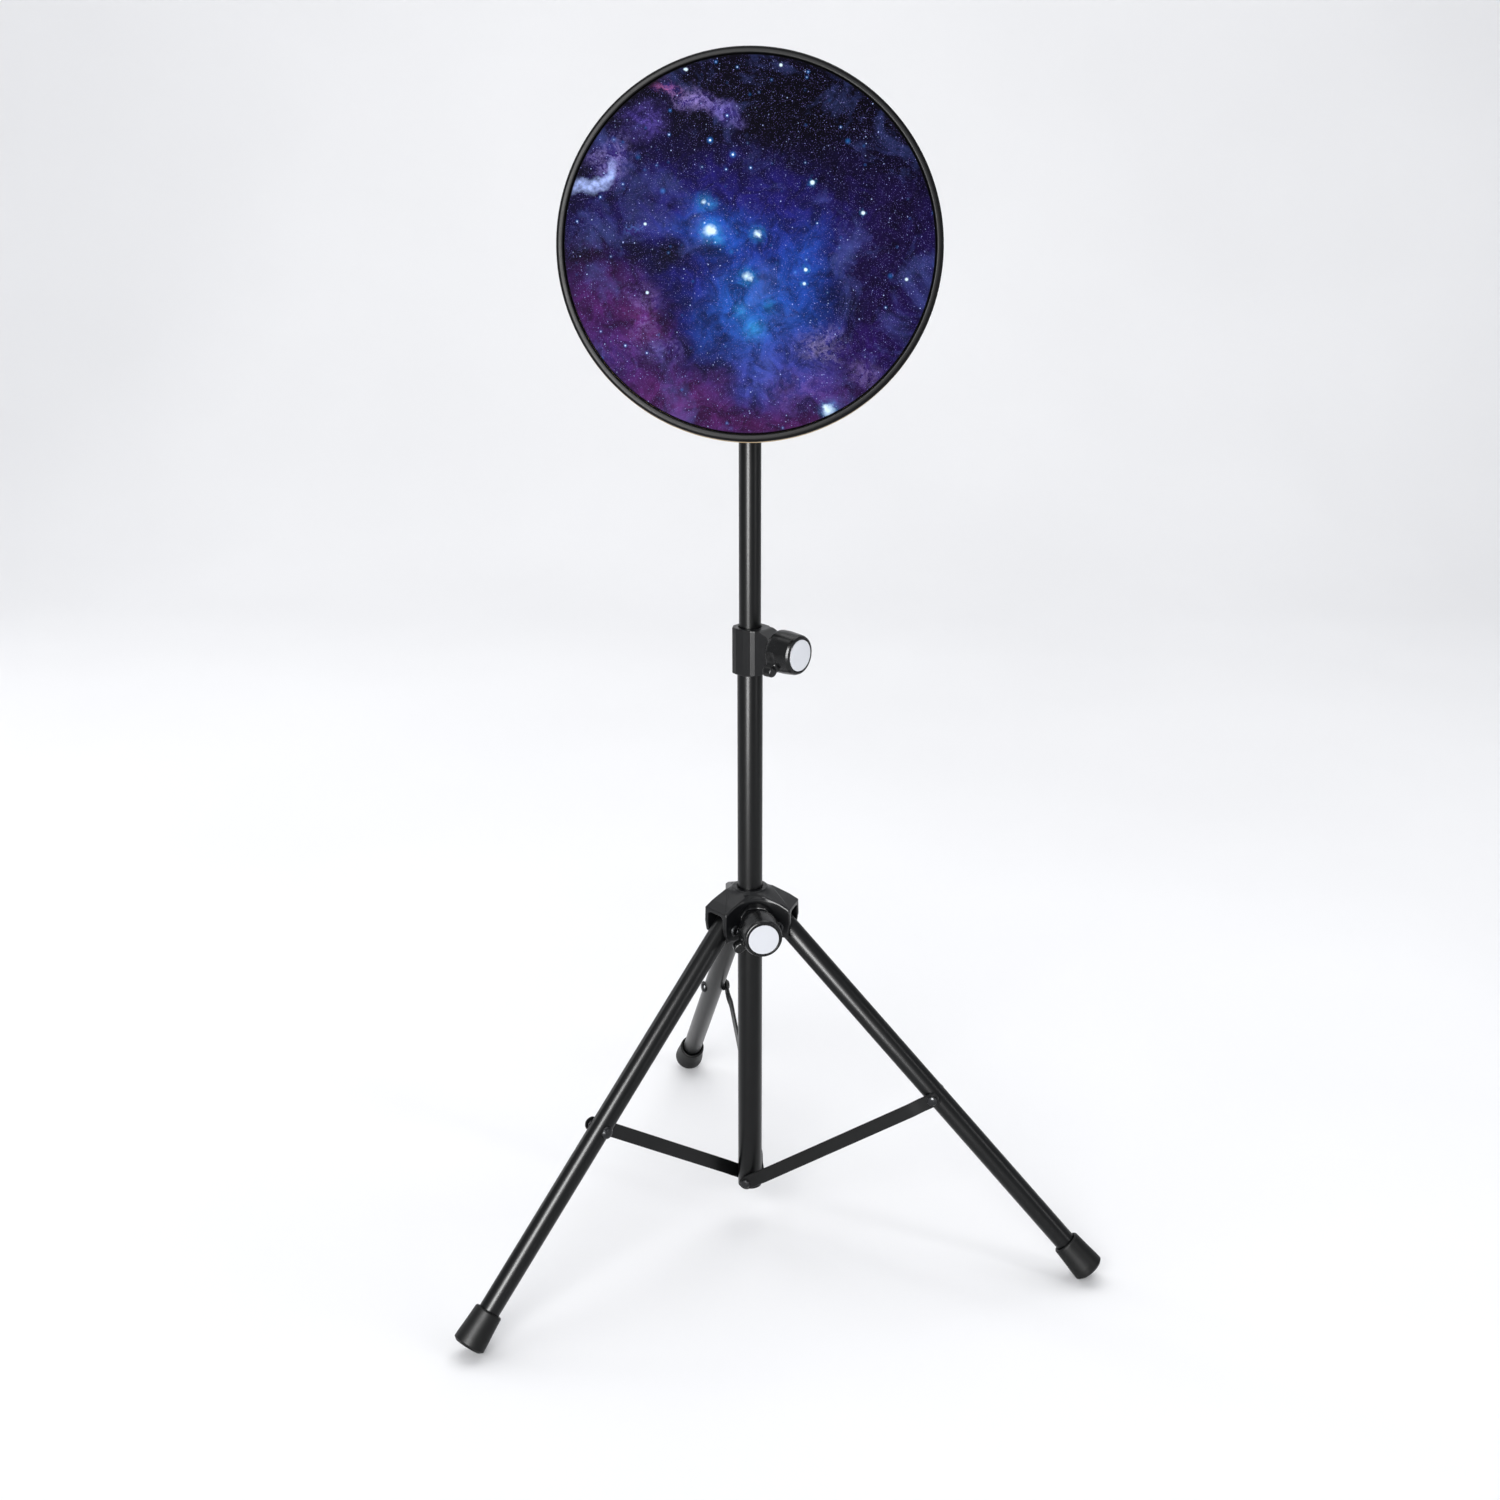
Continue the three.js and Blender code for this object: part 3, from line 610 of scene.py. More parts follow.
    halo = glow(((-0.204, 0.074, 0.085, 0.9), (0.037, 0.060, 0.065, 0.6), (-0.010, -0.158, 0.075, 0.6), (-0.238, 0.221, 0.075, 0.35),
                 (-0.190, 0.205, 0.05, 0.35), (0.409, -0.839, 0.075, 0.8), (0.320, 0.317, 0.035, 0.5), (0.581, 0.165, 0.028, 0.5),
                 (0.287, -0.121, 0.03, 0.6), (0.280, -0.192, 0.026, 0.5), (0.02, -0.42, 0.10, 0.5), (-0.05, -0.33, 0.07, 0.4),
                 (0.10, -0.30, 0.06, 0.3), (-0.157, 0.03, 0.05, 0.4)), 2.0, 0.075)
    col = m.mix(m.math("MULTIPLY", halo, m.remap(fine, 0.3, 0.6, 0.65, 1.0), clamp=True), col, srgb("#2fa8ea"), "SCREEN")
    core = glow(((-0.208, 0.078, 0.040, 1.5), (-0.190, 0.070, 0.026, 1.2), (0.037, 0.062, 0.026, 1.2), (0.050, 0.052, 0.016, 1.0),
                 (-0.016, -0.154, 0.030, 1.0), (0.004, -0.170, 0.018, 0.8), (-0.238, 0.221, 0.016, 0.9), (-0.214, 0.206, 0.010, 0.9),
                 (0.409, -0.839, 0.040, 1.2), (0.392, -0.822, 0.020, 0.9)), 1.3, 0.040)
    dots = glow(((-0.325, 0.879, 0.012, 2.0), (-0.334, 0.880, 0.008, 1.4), (0.157, 0.900, 0.011, 2.2), (0.320, 0.317, 0.015, 2.4),
                 (0.581, 0.165, 0.013, 2.4), (0.807, -0.170, 0.011, 2.0), (0.287, -0.121, 0.012, 2.2), (0.280, -0.192, 0.011, 2.0),
                 (-0.539, 0.109, 0.010, 2.0), (-0.530, -0.237, 0.011, 2.0)), 1.3, 0.004)
    core = m.math("ADD", core, dots)
    col = m.mix(m.math("MULTIPLY", core, 1.0, clamp=True), col, srgb("#d8f0ff"))

    # star fields of six sizes, each cell with its own chance and brightness; the larger ones carry a blue halo
    for scale, core_r, halo_r, chance, gain, tint in ((8.5, 0.0075, 0.024, 0.72, 1.5, "#e4f2ff"), (17.0, 0.0055, 0.015, 0.66, 1.3, "#cfe2ff"),
                                                      (32.0, 0.0042, 0.0, 0.60, 1.2, "#b4c8ff"), (60.0, 0.0030, 0.0, 0.62, 0.95, "#a9b2ff"),
                                                      (110.0, 0.0023, 0.0, 0.55, 0.62, "#9a9cf4"), (190.0, 0.0018, 0.0, 0.35, 0.50, "#9484e0")):
        dist, cell = m.voronoi(m.vec("ADD", q, (scale * 0.37, -scale * 0.21, 0)), scale)
        sep = m.t.nodes.new("ShaderNodeSeparateColor")
        m.put(cell, sep.inputs[0])
        bright = m.remap(sep.outputs[0], chance, 1.0, 0.0, gain)
        if halo_r:
            ring = m.math("POWER", m.remap(dist, 0.0, halo_r * scale, 1.0, 0.0), 2.2)
            col = m.mix(m.math("MULTIPLY", m.math("MULTIPLY", ring, bright), 0.75, clamp=True), col, srgb("#2c86e6"), "SCREEN")
        point = m.remap(dist, 0.0, core_r * scale, 1.0, 0.0, smooth=True)
        col = m.mix(m.math("MULTIPLY", m.math("MULTIPLY", point, bright), 1.7, clamp=True), col, srgb(tint))
    # painted shade: a dark ring at the sheet's edge beside the rim, standing in for the shade in the groove between
    # print and rim
    painted_groove_shade = m.remap(m.vec("LENGTH", q), 0.9505, 0.9545, 0.0, 1.0)
    col = m.mix(painted_groove_shade, col, srgb("#0b0b0d"))
    m.put(col, m.p.inputs["Base Color"])
    m.put(m.remap(m.noise(m.coord, 300, 3, 0.6), 0.3, 0.7, 0.50, 0.62), m.p.inputs["Roughness"])
    m.p.inputs["Specular IOR Level"].default_value = 0.008
    m.bump(m.noise(m.coord, 1400, 2, 0.5), 0.00003)
    return m.mat


M["printed_rubber"] = print_material()

# ------------------------------------------------------------------ column
LOWER_R, LOWER_IN, UPPER_R, UPPER_IN, LEG_R, LEG_IN = 11.1, 9.9, 9.525, 8.3, 9.525, 8.325


def tube(name, ro, ri, z0, z1):
    return revolve(name, [(ri, z0), (ro, z0), (ro, z1), (ri, z1)], 96, 0.45, True, 3)


place("lower_tube_shell", tube("lower_tube_shell", LOWER_R, LOWER_IN, 40, 575), STAND, M["powder_coat"], "column", "lower_tube", slot="powder_coat")
place("bottom_plug_cap", revolve("bottom_plug_cap", [(0, 38.6), (5.6, 38.8), (8.6, 39.5), (9.4, 40.6), (9.4, 56), (7.4, 56), (7.4, 43), (0, 42)], 64, 0.5), STAND, M["black_plastic"], "column", "bottom_plug", slot="black_plastic")
place("upper_tube_shell", tube("upper_tube_shell", UPPER_R, UPPER_IN, 300, 842), STAND, M["powder_coat"], "mast", "upper_tube", slot="powder_coat")
for cad in ("clamp_shoe", "guide_bush"):
    me = NODES[cad].data
    me.materials.clear()
    me.materials.append(M["brass"] if cad == "clamp_shoe" else M["black_plastic"])

COLLAR = [(-13.6, -6.5), (-9.5, -12.6), (-4, -14.2), (4, -14.2), (11, -12.8), (14, -10.6), (28.5, -9.6), (28.5, 9.6), (14, 10.6), (11, 12.8), (4, 14.2), (-4, 14.2), (-9.5, 12.6), (-13.6, 6.5)]
KNOB_Z = JOINT["height_knob_turn"]["pos_m"][2] / MM


def collar(P):
    x, y, z = P[..., 0], P[..., 1], P[..., 2]
    body = d_extrude(d_poly(x, y, COLLAR), z - 564, 21, 0.7)
    # the neck grows thinner towards the knob
    taper = np.abs(z - 565.5) - (21.5 - 0.33 * np.maximum(x - 12, 0) ** 1.05)
    body = smax(body, taper * 0.9, 0.8)
    r = np.sqrt(x * x + y * y)
    body = smax(body, -np.maximum(r - (LOWER_R + 0.2), z - 575.3), 0.5)
    body = smax(body, -(r - (UPPER_R + 0.4)), 0.7)
    body = smax(body, -(np.sqrt(y * y + (z - KNOB_Z) ** 2) - 4.2 + 50 * (x < 9)), 0.2)
    return body


place("clamp_collar_moulding", skin("clamp_collar_moulding", collar, (-14.5, -15, 542), (29.5, 15, 586), 0.5), STAND @ Rz(azimuth(JOINT["height_knob_turn"]["axis"])), M["black_plastic"], "column", "clamp_collar", slot="black_plastic")

# ------------------------------------------------------------------ knobs
KNOB_BODY = [(0, 0), (12.5, 0), (15.6, 0.9), (18.2, 3.4), (18.6, 5.5), (18.6, 11), (17.9, 19), (17.3, 24.0), (16.4, 26.0), (15.2, 26.5), (14.2, 26.3), (13.9, 25.6), (0, 25.6)]
LOBE = math.radians(-55)


def knob_shape(P):
    body = d_turned(P, KNOB_BODY)
    L = spin(P, LOBE)
    lobe = d_rod(L - np.array([23.4, 0, 0]), 4.4, 3.6, 13.0, 1.6)
    arm = d_box(L, (18.5, 0, 8.3), (5.5, 4.1, 4.7), 1.5)
    d = smin(body, smin(lobe, arm, 1.5), 2.2)
    # a thumb flute beside the lobe
    for s in (-1, 1):
        F = spin(P, LOBE + s * math.radians(33))
        d = smax(d, -(length(F - np.array([24.8, 0, 9.0])) - 7.2), 1.4)
    d = smax(d, -d_rod(P, 4.2, -2, 14, 0.2), 0.3)
    return d


knob_mesh = skin("knob_moulding", knob_shape, (-19.5, -29, -0.5), (29, 19.5, 27), 0.5)
disc_mesh = revolve("knob_disc_plate", [(0, 27.1), (7, 27.08), (12.6, 26.95), (13.5, 26.75), (13.6, 26.2), (0, 26.2)], 96, 0.0)
for k, body in (("height", "height_knob"), ("hub", "hub_knob"), ("tilt", "tilt_knob")):
    F = KNOB[k] @ T(0, 0, KNOB_BACK[k] * MM)
    place(f"{k}_knob_moulding", knob_mesh.copy(), F, M["knob_plastic"], body, f"{k}_knob", slot="black_plastic")
    place(f"{k}_knob_face", disc_mesh.copy(), F, M["knob_disc"], body, f"{k}_knob_disc", slot="knob_disc")
for k, z0 in (("height", 11.4), ("hub", 11.6)):
    place(f"{k}_knob_thread", threaded(f"{k}_knob_thread", 3.9, z0, KNOB_BACK[k] + 13.4, 1.25, 0.6, tip=0.0), KNOB[k], M["plated_steel"], f"{k}_knob", f"{k}_knob_screw", slot="plated_steel")

# ------------------------------------------------------------------ hub
HUB_AZ = azimuth(JOINT["hub_knob_turn"]["axis"])
HUB_KNOB_Z = JOINT["hub_knob_turn"]["pos_m"][2] / MM
ARM = [(6, 342), (17, 341.5), (33, 335.5), (41.5, 331), (42, 318), (40.5, 309), (36.5, 304.2), (30, 303), (24, 304), (20, 300), (6, 300)]
SLOT = [(17.9, 286), (60, 286), (60, 331.5), (42, 327.6), (37, 327.6), (25, 327.6), (17.9, 322)]


CANOPY_R, CANOPY_ARC, NICHE_R, BOSS_HALF = 22.5, 44.0, 19.5, 12.6


def hub_shape(P):
    r = np.sqrt(P[..., 0] ** 2 + P[..., 1] ** 2)
    z = P[..., 2]
    d = d_poly(r, z, [(0, 292), (16.8, 292), (17.4, 312), (17.4, 336), (17.2, 341), (15.6, 344), (0, 344)])
    for s in SIDES:
        L = spin(P, LEG_AZ[s])
        arm = d_extrude(d_poly(L[..., 0], L[..., 2], ARM), L[..., 1], 14.4, 1.6)
        d = smin(d, arm, 3.5)
    K = spin(P, HUB_AZ)
    ax = np.stack([K[..., 2] - HUB_KNOB_Z, K[..., 1], K[..., 0]], -1)
    # canopy wall beside the knob: set back in a shallow arc under the roof, arched over the knob
    roof = d_poly(r, z, [(0, 303), (46, 303), (46, 328), (41.5, 331), (33, 335.5), (17, 341.8), (0, 342)])
    back = CANOPY_ARC - np.sqrt((K[..., 0] - CANOPY_R - CANOPY_ARC) ** 2 + K[..., 1] ** 2)
    side = np.abs(K[..., 1]) * 0.967 - K[..., 0] * 0.254 - 19.34
    wall = smax(smax(back, roof, 1.8), np.maximum(side, -K[..., 0]), 0.3)
    niche = np.maximum(np.sqrt(ax[..., 0] ** 2 + ax[..., 1] ** 2) - NICHE_R, 17.0 - K[..., 0])
    wall = smax(wall, -niche, 1.0)
    d = smin(d, wall, 1.2)
    h = BOSS_HALF
    boss = d_extrude(d_poly(ax[..., 0], ax[..., 1], [(-h, -h + 4), (-h + 4, -h), (h - 4, -h), (h, -h + 4), (h, h - 4), (h - 4, h), (-h + 4, h), (-h, h - 4)]), K[..., 0] - 18.5, 12.5, 0.9)
    d = smin(d, boss, 1.5)
    for s in SIDES:
        L = spin(P, LEG_AZ[s])
        d = smax(d, -d_extrude(d_poly(L[..., 0], L[..., 2], SLOT), L[..., 1], 9.9, 4.0), 0.8)
    d = smax(d, -(r - (LOWER_R + 0.3)), 0.8)
    d = smax(d, -d_rod(ax, 4.2, 5, 40), 0.3)
    d = smax(d, 292 - z, 0.3)
    return d


place("hub_moulding", skin("hub_moulding", hub_shape, (-46, -46, 291), (46, 46, 345), 0.62), STAND, M["black_plastic"], "hub", "hub", slot="black_plastic")

# ------------------------------------------------------------------ legs, feet, pins, struts
Y_AXIS = Rx(-math.pi / 2)      # a turned piece's +Z laid along +Y
PIN_HEADS = [(0, -15.9), (2.1, -15.9), (2.6, -17.2), (4.0, -17.4), (5.2, -16.2), (5.2, -14.7), (2.9, -14.7), (2.9, 14.7), (5.2, 14.7), (5.2, 16.2), (4.0, 17.4), (2.6, 17.2), (2.1, 15.9), (0, 15.9)]
FOOT = [(0, -421.5), (11.6, -421.5), (14.43, -419.2), (14.3, -414), (13.4, -403), (12.7, -391.5), (12.5, -388.6), (11.7, -387.5), (10.1, -387.6), (9.85, -389), (9.85, -412.4), (0, -412.4)]
for s in SIDES:
    body = f"leg_{s}"
    place(f"leg_tube_{s}_shell", tube(f"leg_tube_{s}_shell", LEG_R, LEG_IN, -412.2, 5), LEG[s], M["powder_coat"], body, f"leg_tube_{s}", slot="powder_coat")
    place(f"foot_{s}_cup", revolve(f"foot_{s}_cup", FOOT, 96, 0.7), LEG[s], M["foot_rubber"], body, f"foot_{s}", slot="foot_rubber")
    rivet = [(0, -11.3), (5.0, -11.3), (5.2, -10.6), (5.6, -9.0), (2.6, -8.8), (2.6, 9.0), (5.6, 8.9), (5.9, 9.7), (5.5, 10.9), (4.2, 12.2), (2.2, 12.8), (0, 12.9)]
    place(f"leg_rivet_{s}_body", revolve(f"leg_rivet_{s}_body", rivet, 48, 0.3), LEG[s] @ T(0, 0, -STRUT_ON_LEG * MM) @ Y_AXIS, M["dark_rivet"], body, f"leg_rivet_{s}", slot="dark_rivet")
    place(f"hub_pin_{s}_rivet", revolve(f"hub_pin_{s}_rivet", PIN_HEADS, 64, 0.35), RADIAL[s] @ T(HUB_PIVOT_R * MM, 0, HUB_PIVOT_Z * MM) @ Y_AXIS, M["dark_rivet"], "hub", f"hub_pin_{s}", slot="dark_rivet")
    pin = [(0, 0), (2.6, 0), (2.6, 2.5), (4.6, 2.55), (4.55, 3.4), (3.7, 4.4), (2.0, 4.75), (0, 4.8)]
    place(f"column_rivet_{s}_head", revolve(f"column_rivet_{s}_head", pin, 48, 0.25), RADIAL[s] @ T(0, -11.3 * MM, STRUT_Z * MM) @ Rx(math.pi / 2), M["dark_rivet"], "column", f"column_rivet_{s}", slot="dark_rivet")


def strut_mesh(name):
    """A flat bar with round ends, set over slightly between them: its middle lies a little outside its ends."""
    w, t = 6.35, 1.0
    V, F, rows = [], [], []
    zs = [-w * math.cos(math.radians(a)) for a in range(4, 90, 8)] + [3, 6, 9, 12, 15, 18, 21, 24, 28]
    zs = zs + [40, 60, 90, 120, 150] + [STRUT_LEN - v for v in reversed(zs)]
    L = STRUT_LEN
    sec = [(-1, -1), (1, -1), (1, 1), (-1, 1)]
    e = 0.35
    for z in zs:
        half = w
        if z < 0:
            half = math.sqrt(max(0.0, w * w - z * z))
        elif z > L:
            half = math.sqrt(max(0.0, w * w - (z - L) ** 2))
        def step(v):
            v = min(1, max(0, v))
            return v * v * (3 - 2 * v)
        off = -1.5 * step((z - 9) / 12) * step((L - z - 11) / 14)
        row = []
        for sx, sy in sec:
            for k in ((1, 0), (0, 1)) if sx * sy < 0 else ((0, 1), (1, 0)):
                x = sx * (half - e * k[0] * min(1, half)) if half > 0.5 else sx * half * 0.9
                y = sy * (t - e * k[1])
                row.append((x, y))
        start = len(V)
        for x, y in row:
            V.append((x * MM, (y + off) * MM, z * MM))
        rows.append(list(range(start, start + len(row))))
    n = len(rows[0])
    for A, B in zip(rows, rows[1:]):
        for k in range(n):
            F.append((A[k], A[(k + 1) % n], B[(k + 1) % n], B[k]))
    F.append(tuple(reversed(rows[0])))
    F.append(tuple(rows[-1]))
    me = make_mesh(name, V, F, None)
    import bmesh
    bm = bmesh.new()
    bm.from_mesh(me)
    bmesh.ops.recalc_face_normals(bm, faces=bm.faces)
    bm.to_mesh(me)
    bm.free()
    me.set_sharp_from_angle(angle=math.radians(40))
    return me


for s in SIDES:
    place(f"strut_{s}_bar", strut_mesh(f"strut_{s}_bar"), STRUT[s], M["powder_coat"], f"strut_{s}", f"strut_{s}", slot="powder_coat")
    cap = [(0, -1.0), (2.6, -1.0), (2.6, 1.0), (4.8, 1.05), (4.7, 2.0), (3.9, 3.0), (2.2, 3.5), (0, 3.6)]
    place(f"strut_rivet_{s}_head", revolve(f"strut_rivet_{s}_head", cap, 48, 0.25), STRUT[s] @ T(0, 0, STRUT_LEN * MM) @ Rx(math.pi / 2), M["dark_rivet"], f"strut_{s}", f"strut_rivet_{s}", slot="dark_rivet")

# ------------------------------------------------------------------ mast head and its clamp bolt
HEAD = STAND @ T(0, 0, PIVOT.z)
TOP = 842 - PIVOT.z / MM
CLAMP = 37.0


def mast_head(P):
    spig = d_turned(P, [(0, TOP - 28), (8.0, TOP - 28), (8.0, TOP + 0.3), (9.5, TOP + 0.3), (9.5, TOP + 2.2), (8.6, TOP + 3.4), (0, TOP + 3.4)])
    y, z, x = P[..., 1], P[..., 2], P[..., 0]
    flat = np.maximum(np.abs(y) - 8.2, np.maximum(z - 0.0, (TOP + 1) - z))
    flat = np.minimum(flat, np.sqrt(y * y + z * z) - 8.2)
    tongue = d_extrude(flat, x, 4.95, 0.5)
    return smin(spig, tongue, 1.2)


place("mast_head_steel", skin("mast_head_steel", mast_head, (-10, -10, TOP - 29), (10, 10, 9), 0.55), HEAD, M["black_bracket"], "mast", "mast_head", slot="black_bracket")
X_AXIS = Ry(math.pi / 2)
bolt = [(0, -11.2), (2.4, -11.15), (4.5, -10.7), (5.9, -9.9), (6.6, -8.9), (6.6, -7.7), (3.0, -7.7), (3.0, 22), (0, 22)]
place("tilt_clamp_bolt_body", revolve("tilt_clamp_bolt_body", bolt, 64, 0.3), HEAD @ T(0, 0, -CLAMP * MM) @ X_AXIS, M["dark_screw"], "mast", "tilt_clamp_bolt", slot="plated_steel")
place("tilt_clamp_washer_ring", revolve("tilt_clamp_washer_ring", [(3.3, 7.6), (10, 7.6), (10, 9.2), (3.3, 9.2)], 64, 0.3, True), HEAD @ T(0, 0, -CLAMP * MM) @ X_AXIS, M["plated_steel"], "mast", "tilt_clamp_washer", slot="plated_steel")

# ------------------------------------------------------------------ tilter
WEB, GAP, PLATE, PLATE_R = 15.5, 5.3, 2.0, 51.0
OUTLINE = [(35, WEB), (-math.sqrt(PLATE_R**2 - WEB**2), WEB)] + [(PLATE_R * math.cos(math.radians(a)), PLATE_R * math.sin(math.radians(a))) for a in np.linspace(168, 281, 60)] + [(35, -2)]
OUTLINE = rounded(OUTLINE, 0.0, 4, True)


def bracket(P):
    x, y, z = P[..., 0], P[..., 1], P[..., 2]
    flat = d_poly(y, z, ROUND_OUT)
    outer = d_extrude(flat, x, GAP + PLATE, 1.1)
    inner = d_extrude(z - (WEB - PLATE), x, GAP, 1.0)
    d = smax(outer, -inner, 0.5)
    a = np.degrees(np.arctan2(z, y)) % 360
    a = np.clip(a, 183, 273)
    a = np.radians(a)
    slot = np.sqrt((y - 37 * np.cos(a)) ** 2 + (z - 37 * np.sin(a)) ** 2) - 3.6
    d = smax(d, -slot, 0.5)
    d = smax(d, -(np.sqrt(x * x + y * y) - 4.3 + 50 * (z < 5)), 0.3)
    return d


corners = [(35, WEB, 1.6), (-math.sqrt(PLATE_R**2 - WEB**2), WEB, 2.4)] + [(PLATE_R * math.cos(math.radians(a)), PLATE_R * math.sin(math.radians(a)), 0) for a in np.linspace(168, 281, 60)] + [(35, -2, 2.0)]
ROUND_OUT = rounded(corners, 0.0, 5, True)
place("tilt_bracket_channel", skin("tilt_bracket_channel", bracket, (-8, -52, -52), (8, 36, 16.5), 0.5), TILTER, M["black_bracket"], "tilter", "tilt_bracket", slot="black_bracket")


def cross_head(P):
    """Pan head with a cross recess, +Z outwards, its underside at 7.6."""
    d = d_turned(P, [(0, -11), (2.95, -11), (2.95, 7.6), (6.8, 7.6), (6.6, 8.7), (5.7, 9.9), (4.2, 10.7), (2, 11.1), (0, 11.2)])
    for a in (math.radians(28), math.radians(118)):
        R = spin(P, a)
        wide = 3.4 - 0.42 * np.maximum(11.2 - R[..., 2], 0)
        cut_ = np.maximum(np.maximum(np.abs(R[..., 0]) - wide, np.abs(R[..., 1]) - 0.72), 8.7 - R[..., 2])
        d = smax(d, -cut_, 0.18)
    return d


place("pivot_screw_body", skin("pivot_screw_body", cross_head, (-7.2, -7.2, -11.3), (7.2, 7.2, 11.6), 0.28), TILTER @ X_AXIS, M["dark_screw"], "tilter", "pivot_screw", slot="plated_steel")


def hexagon(P, apothem, z0, z1, bore, chamfer):
    x, y, z = P[..., 0], P[..., 1], P[..., 2]
    flat = np.abs(x) - apothem
    for a in (math.radians(60), math.radians(120)):
        flat = smax(flat, np.abs(x * math.cos(a) + y * math.sin(a)) - apothem, 0.25)
    d = d_extrude(flat, z - (z0 + z1) / 2, (z1 - z0) / 2, 0.2)
    r = np.sqrt(x * x + y * y)
    for top in (z1 - z, z - z0):
        d = smax(d, (r - apothem * 1.03 - top * 1.7) * 0.5, 0.15)
    if bore:
        d = smax(d, -(r - bore), 0.4)
    return d


place("pivot_nut_body", skin("pivot_nut_body", lambda P: hexagon(P, 5.02, -12.2, -7.6, 0, 0), (-6.2, -6.2, -12.4), (6.2, 6.2, -7.4), 0.25), TILTER @ X_AXIS, M["dark_screw"], "tilter", "pivot_nut", slot="plated_steel")
place("hex_nut_body", skin("hex_nut_body", lambda P: hexagon(P, 8.31, 23.2, 30.4, 4.1, 0), (-9.9, -9.9, 23), (9.9, 9.9, 30.6), 0.33), TILTER, M["dark_nut"], "tilter", "hex_nut", slot="dark_nut")


def wings(P):
    r = np.sqrt(P[..., 0] ** 2 + P[..., 1] ** 2)
    a = np.arctan2(P[..., 1], P[..., 0])
    hub = d_rod(P, 8.1, 30.8, 35.4, 0.6) - 0.10 * np.sin(a * 36) * (r > 6)
    arms = d_box(P, (0, 0, 33.1), (13.8, 3.4, 2.1), 0.7)
    d = smin(hub, arms, 1.0)
    return smax(d, -(r - 4.1), 0.4)


place("wing_lock_nut_body", skin("wing_lock_nut_body", wings, (-14.2, -8.8, 30.4), (14.2, 8.8, 35.8), 0.33), TILTER, M["cast_nut"], "lock_nut", "wing_lock_nut", slot="dark_nut")
place("base_washer_cone", revolve("base_washer_cone", [(4.4, 15.7), (12.6, 15.7), (12.6, 16.6), (12.0, 18.2), (10.6, 19.6), (4.4, 19.6)], 80, 0.5, True), TILTER, M["black_bracket"], "tilter", "base_washer", slot="black_bracket")


def split_ring(name, ri, ro, z0, z1, gap, rise):
    """A split lock washer: a rectangular wire bent in one turn, its ends a little apart and out of line."""
    V, F = [], []
    n = 96
    c = 0.35
    sec = [(ri + c, z0), (ro - c, z0), (ro, z0 + c), (ro, z1 - c), (ro - c, z1), (ri + c, z1), (ri, z1 - c), (ri, z0 + c)]
    m = len(sec)
    for i in range(n + 1):
        a = gap / 2 + (2 * math.pi - gap) * i / n + math.radians(-50)
        dz = rise * (i / n - 0.5)
        for r, z in sec:
            V.append((r * math.cos(a) * MM, r * math.sin(a) * MM, (z * 1.0 + dz) * MM))
    for i in range(n):
        for k in range(m):
            F.append((i * m + k, i * m + (k + 1) % m, (i + 1) * m + (k + 1) % m, (i + 1) * m + k))
    F.append(tuple(range(m)))
    F.append(tuple(reversed(range(n * m, (n + 1) * m))))
    return make_mesh(name, V, F, 35)


place("spring_washer_split", split_ring("spring_washer_split", 4.5, 11.0, 20.05, 22.75, 0.16, 0.35), TILTER, M["black_bracket"], "tilter", "spring_washer", slot="black_bracket")
place("threaded_rod_m8", threaded("threaded_rod_m8", 3.9, 12.9, 49, 1.25, 0.68, tip=1.0), TILTER, M["dark_screw"], "tilter", "threaded_rod", slot="plated_steel")
place("threaded_rod_block", skin("threaded_rod_block", lambda P: d_box(P, (0, 0, 11.35), (4.85, 5.95, 1.85), 0.5), (-5.2, -6.3, 9.2), (5.2, 6.3, 13.5), 0.3), TILTER, M["dark_screw"], "tilter", slot="plated_steel")

# ------------------------------------------------------------------ pad
place("playing_surface_sheet", revolve("playing_surface_sheet", [(0, 51.2), (146.0, 51.2), (146.0, 57.7), (0, 57.7)], 192, 0.7), TILTER, M["printed_rubber"], "pad", "playing_surface", slot="printed_rubber")
place("rim_ring_moulding", revolve("rim_ring_moulding", [(146.35, 51.2, 0.3), (152.2, 51.2, 0.5), (152.2, 58.8, 2.8), (146.35, 58.8, 1.5)], 192, 0.5, True, 8), TILTER, M["rim_rubber"], "pad", "rim_ring", slot="rim_rubber")
place("base_board_disc", revolve("base_board_disc", [(5.9, 38.9), (152.4, 38.9), (152.4, 50.9), (5.9, 50.9)], 192, 0.8, True), TILTER, M["base_board"], "pad", "base_board", slot="base_board")
place("non_slip_skin", revolve("non_slip_skin", [(20, 36.6), (148.5, 36.6), (148.5, 38.6), (20, 38.6)], 192, 0.7, True), TILTER, M["non_slip"], "pad", "non_slip_base", slot="non_slip")
place("threaded_insert_body", revolve("threaded_insert_body", [(4.3, 37.0), (18, 37.0), (18, 38.5), (5.5, 38.5), (5.5, 50.2), (4.3, 50.2)], 96, 0.35, True), TILTER, M["plated_steel"], "pad", "threaded_insert", slot="plated_steel")

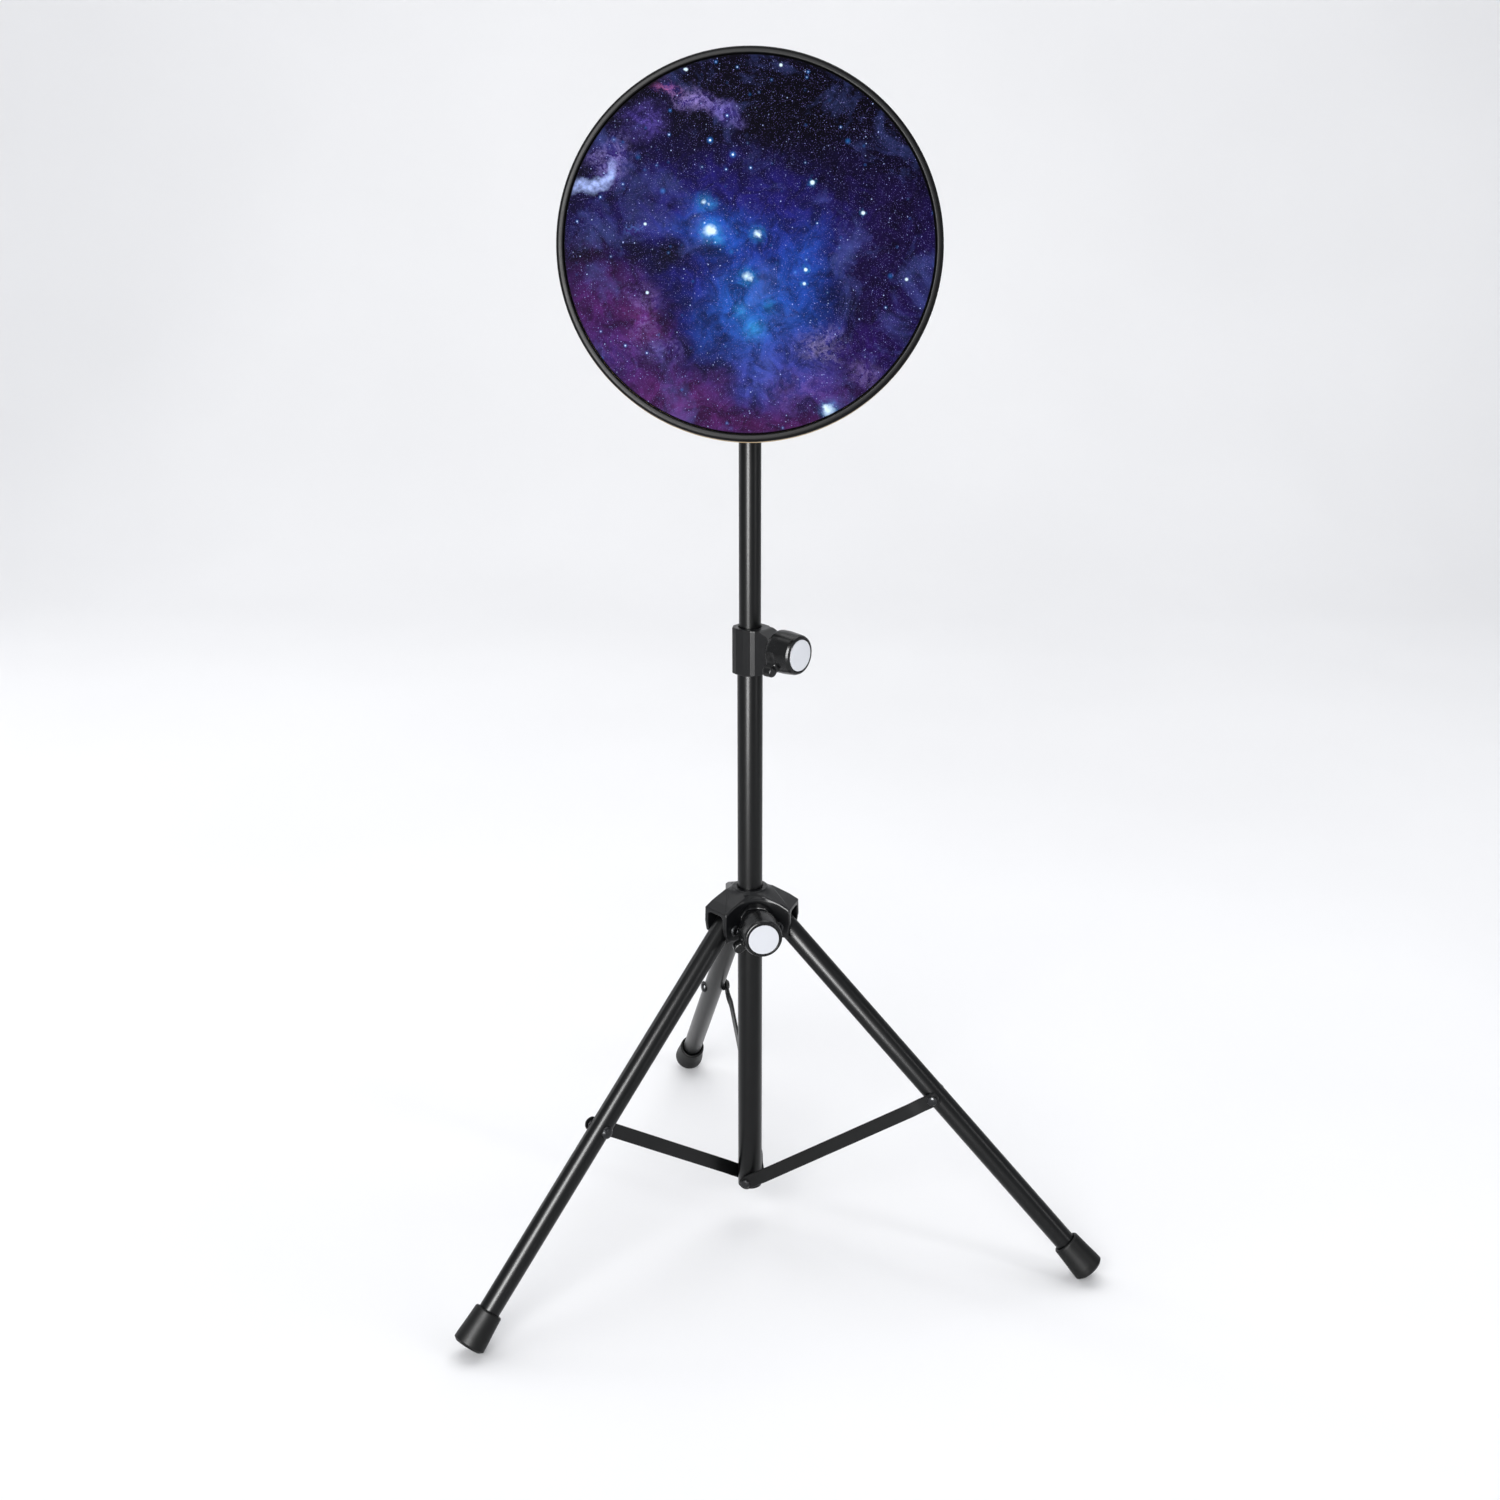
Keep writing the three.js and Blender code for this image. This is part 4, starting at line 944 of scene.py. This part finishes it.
# ------------------------------------------------------------------ stage, light, camera
def floor():
    """A pale floor that sweeps up behind the object."""
    V, F = [], []
    prof = [(-7.0, 0.0), (2.2, 0.0)]
    for k in range(1, 17):
        a = math.pi / 2 * k / 16
        prof.append((2.2 + 1.2 * math.sin(a), 1.2 - 1.2 * math.cos(a)))
    prof.append((3.4, 4.5))
    for y, z in prof:
        for x in (-9, 9):
            V.append((x, y, z))
    for i in range(len(prof) - 1):
        F.append((2 * i, 2 * i + 1, 2 * i + 3, 2 * i + 2))
    me = make_mesh("studio_floor", V, F, None)
    o = bpy.data.objects.new("studio_floor", me)
    bpy.context.scene.collection.objects.link(o)
    m = Nodes("studio_floor")
    n = m.noise(m.coord, 1.5, 2, 0.5)
    m.put(m.mix(m.remap(n, 0.3, 0.7), (0.80, 0.80, 0.805, 1), (0.83, 0.83, 0.835, 1)), m.p.inputs["Base Color"])
    m.p.inputs["Roughness"].default_value = 0.75
    m.p.inputs["Specular IOR Level"].default_value = 0.15
    me.materials.append(m.mat)


floor()


def area(name, where, at, size, power, colour=(1, 1, 1)):
    light = bpy.data.lights.new(name, "AREA")
    light.shape = "RECTANGLE"
    light.size, light.size_y = size
    light.energy = power
    light.color = colour
    o = bpy.data.objects.new(name, light)
    o.location = where
    o.rotation_mode = "QUATERNION"
    o.rotation_quaternion = (Vector(at) - Vector(where)).to_track_quat("-Z", "Y")
    bpy.context.scene.collection.objects.link(o)
    return o


area("strip_left", (-0.75, -2.35, 1.35), (0, 0, 0.55), (0.22, 2.6), 40).visible_diffuse = False
area("streak_left", (-0.80, -2.25, 1.2), (0, 0, 0.5), (0.85, 2.3), 250).visible_diffuse = False
area("front_soft", (-1.2, -4.2, 2.9), (0, 0, 0.5), (2.6, 2.0), 120).visible_glossy = False
area("strip_right", (2.3, -1.5, 1.2), (0, 0, 0.5), (0.25, 2.2), 16)
area("top_soft", (0.0, 0.9, 3.4), (0, 0.3, 0.2), (3.4, 2.8), 60)
area("strip_rear", (-2.3, 1.4, 1.3), (0, 0, 0.5), (0.3, 2.2), 12)
world = bpy.data.worlds.new("studio")
bpy.context.scene.world = world
world.use_nodes = True
world.node_tree.nodes["Background"].inputs[0].default_value = (0.93, 0.95, 1.0, 1)
world.node_tree.nodes["Background"].inputs[1].default_value = 0.52
bpy.context.scene.view_settings.view_transform = "Standard"

cam = bpy.data.cameras.new("camera")
cam.lens = 49.0
cam.sensor_width = 36.0
cam.clip_start, cam.clip_end = 0.05, 50
eye = bpy.data.objects.new("camera", cam)
bpy.context.scene.collection.objects.link(eye)
eye.location = (AXIS.x, AXIS.y - 1.6995, 1.0471)
eye.rotation_euler = (math.radians(90 - 18.68), 0, 0)
bpy.context.scene.camera = eye

bpy.context.view_layer.update()
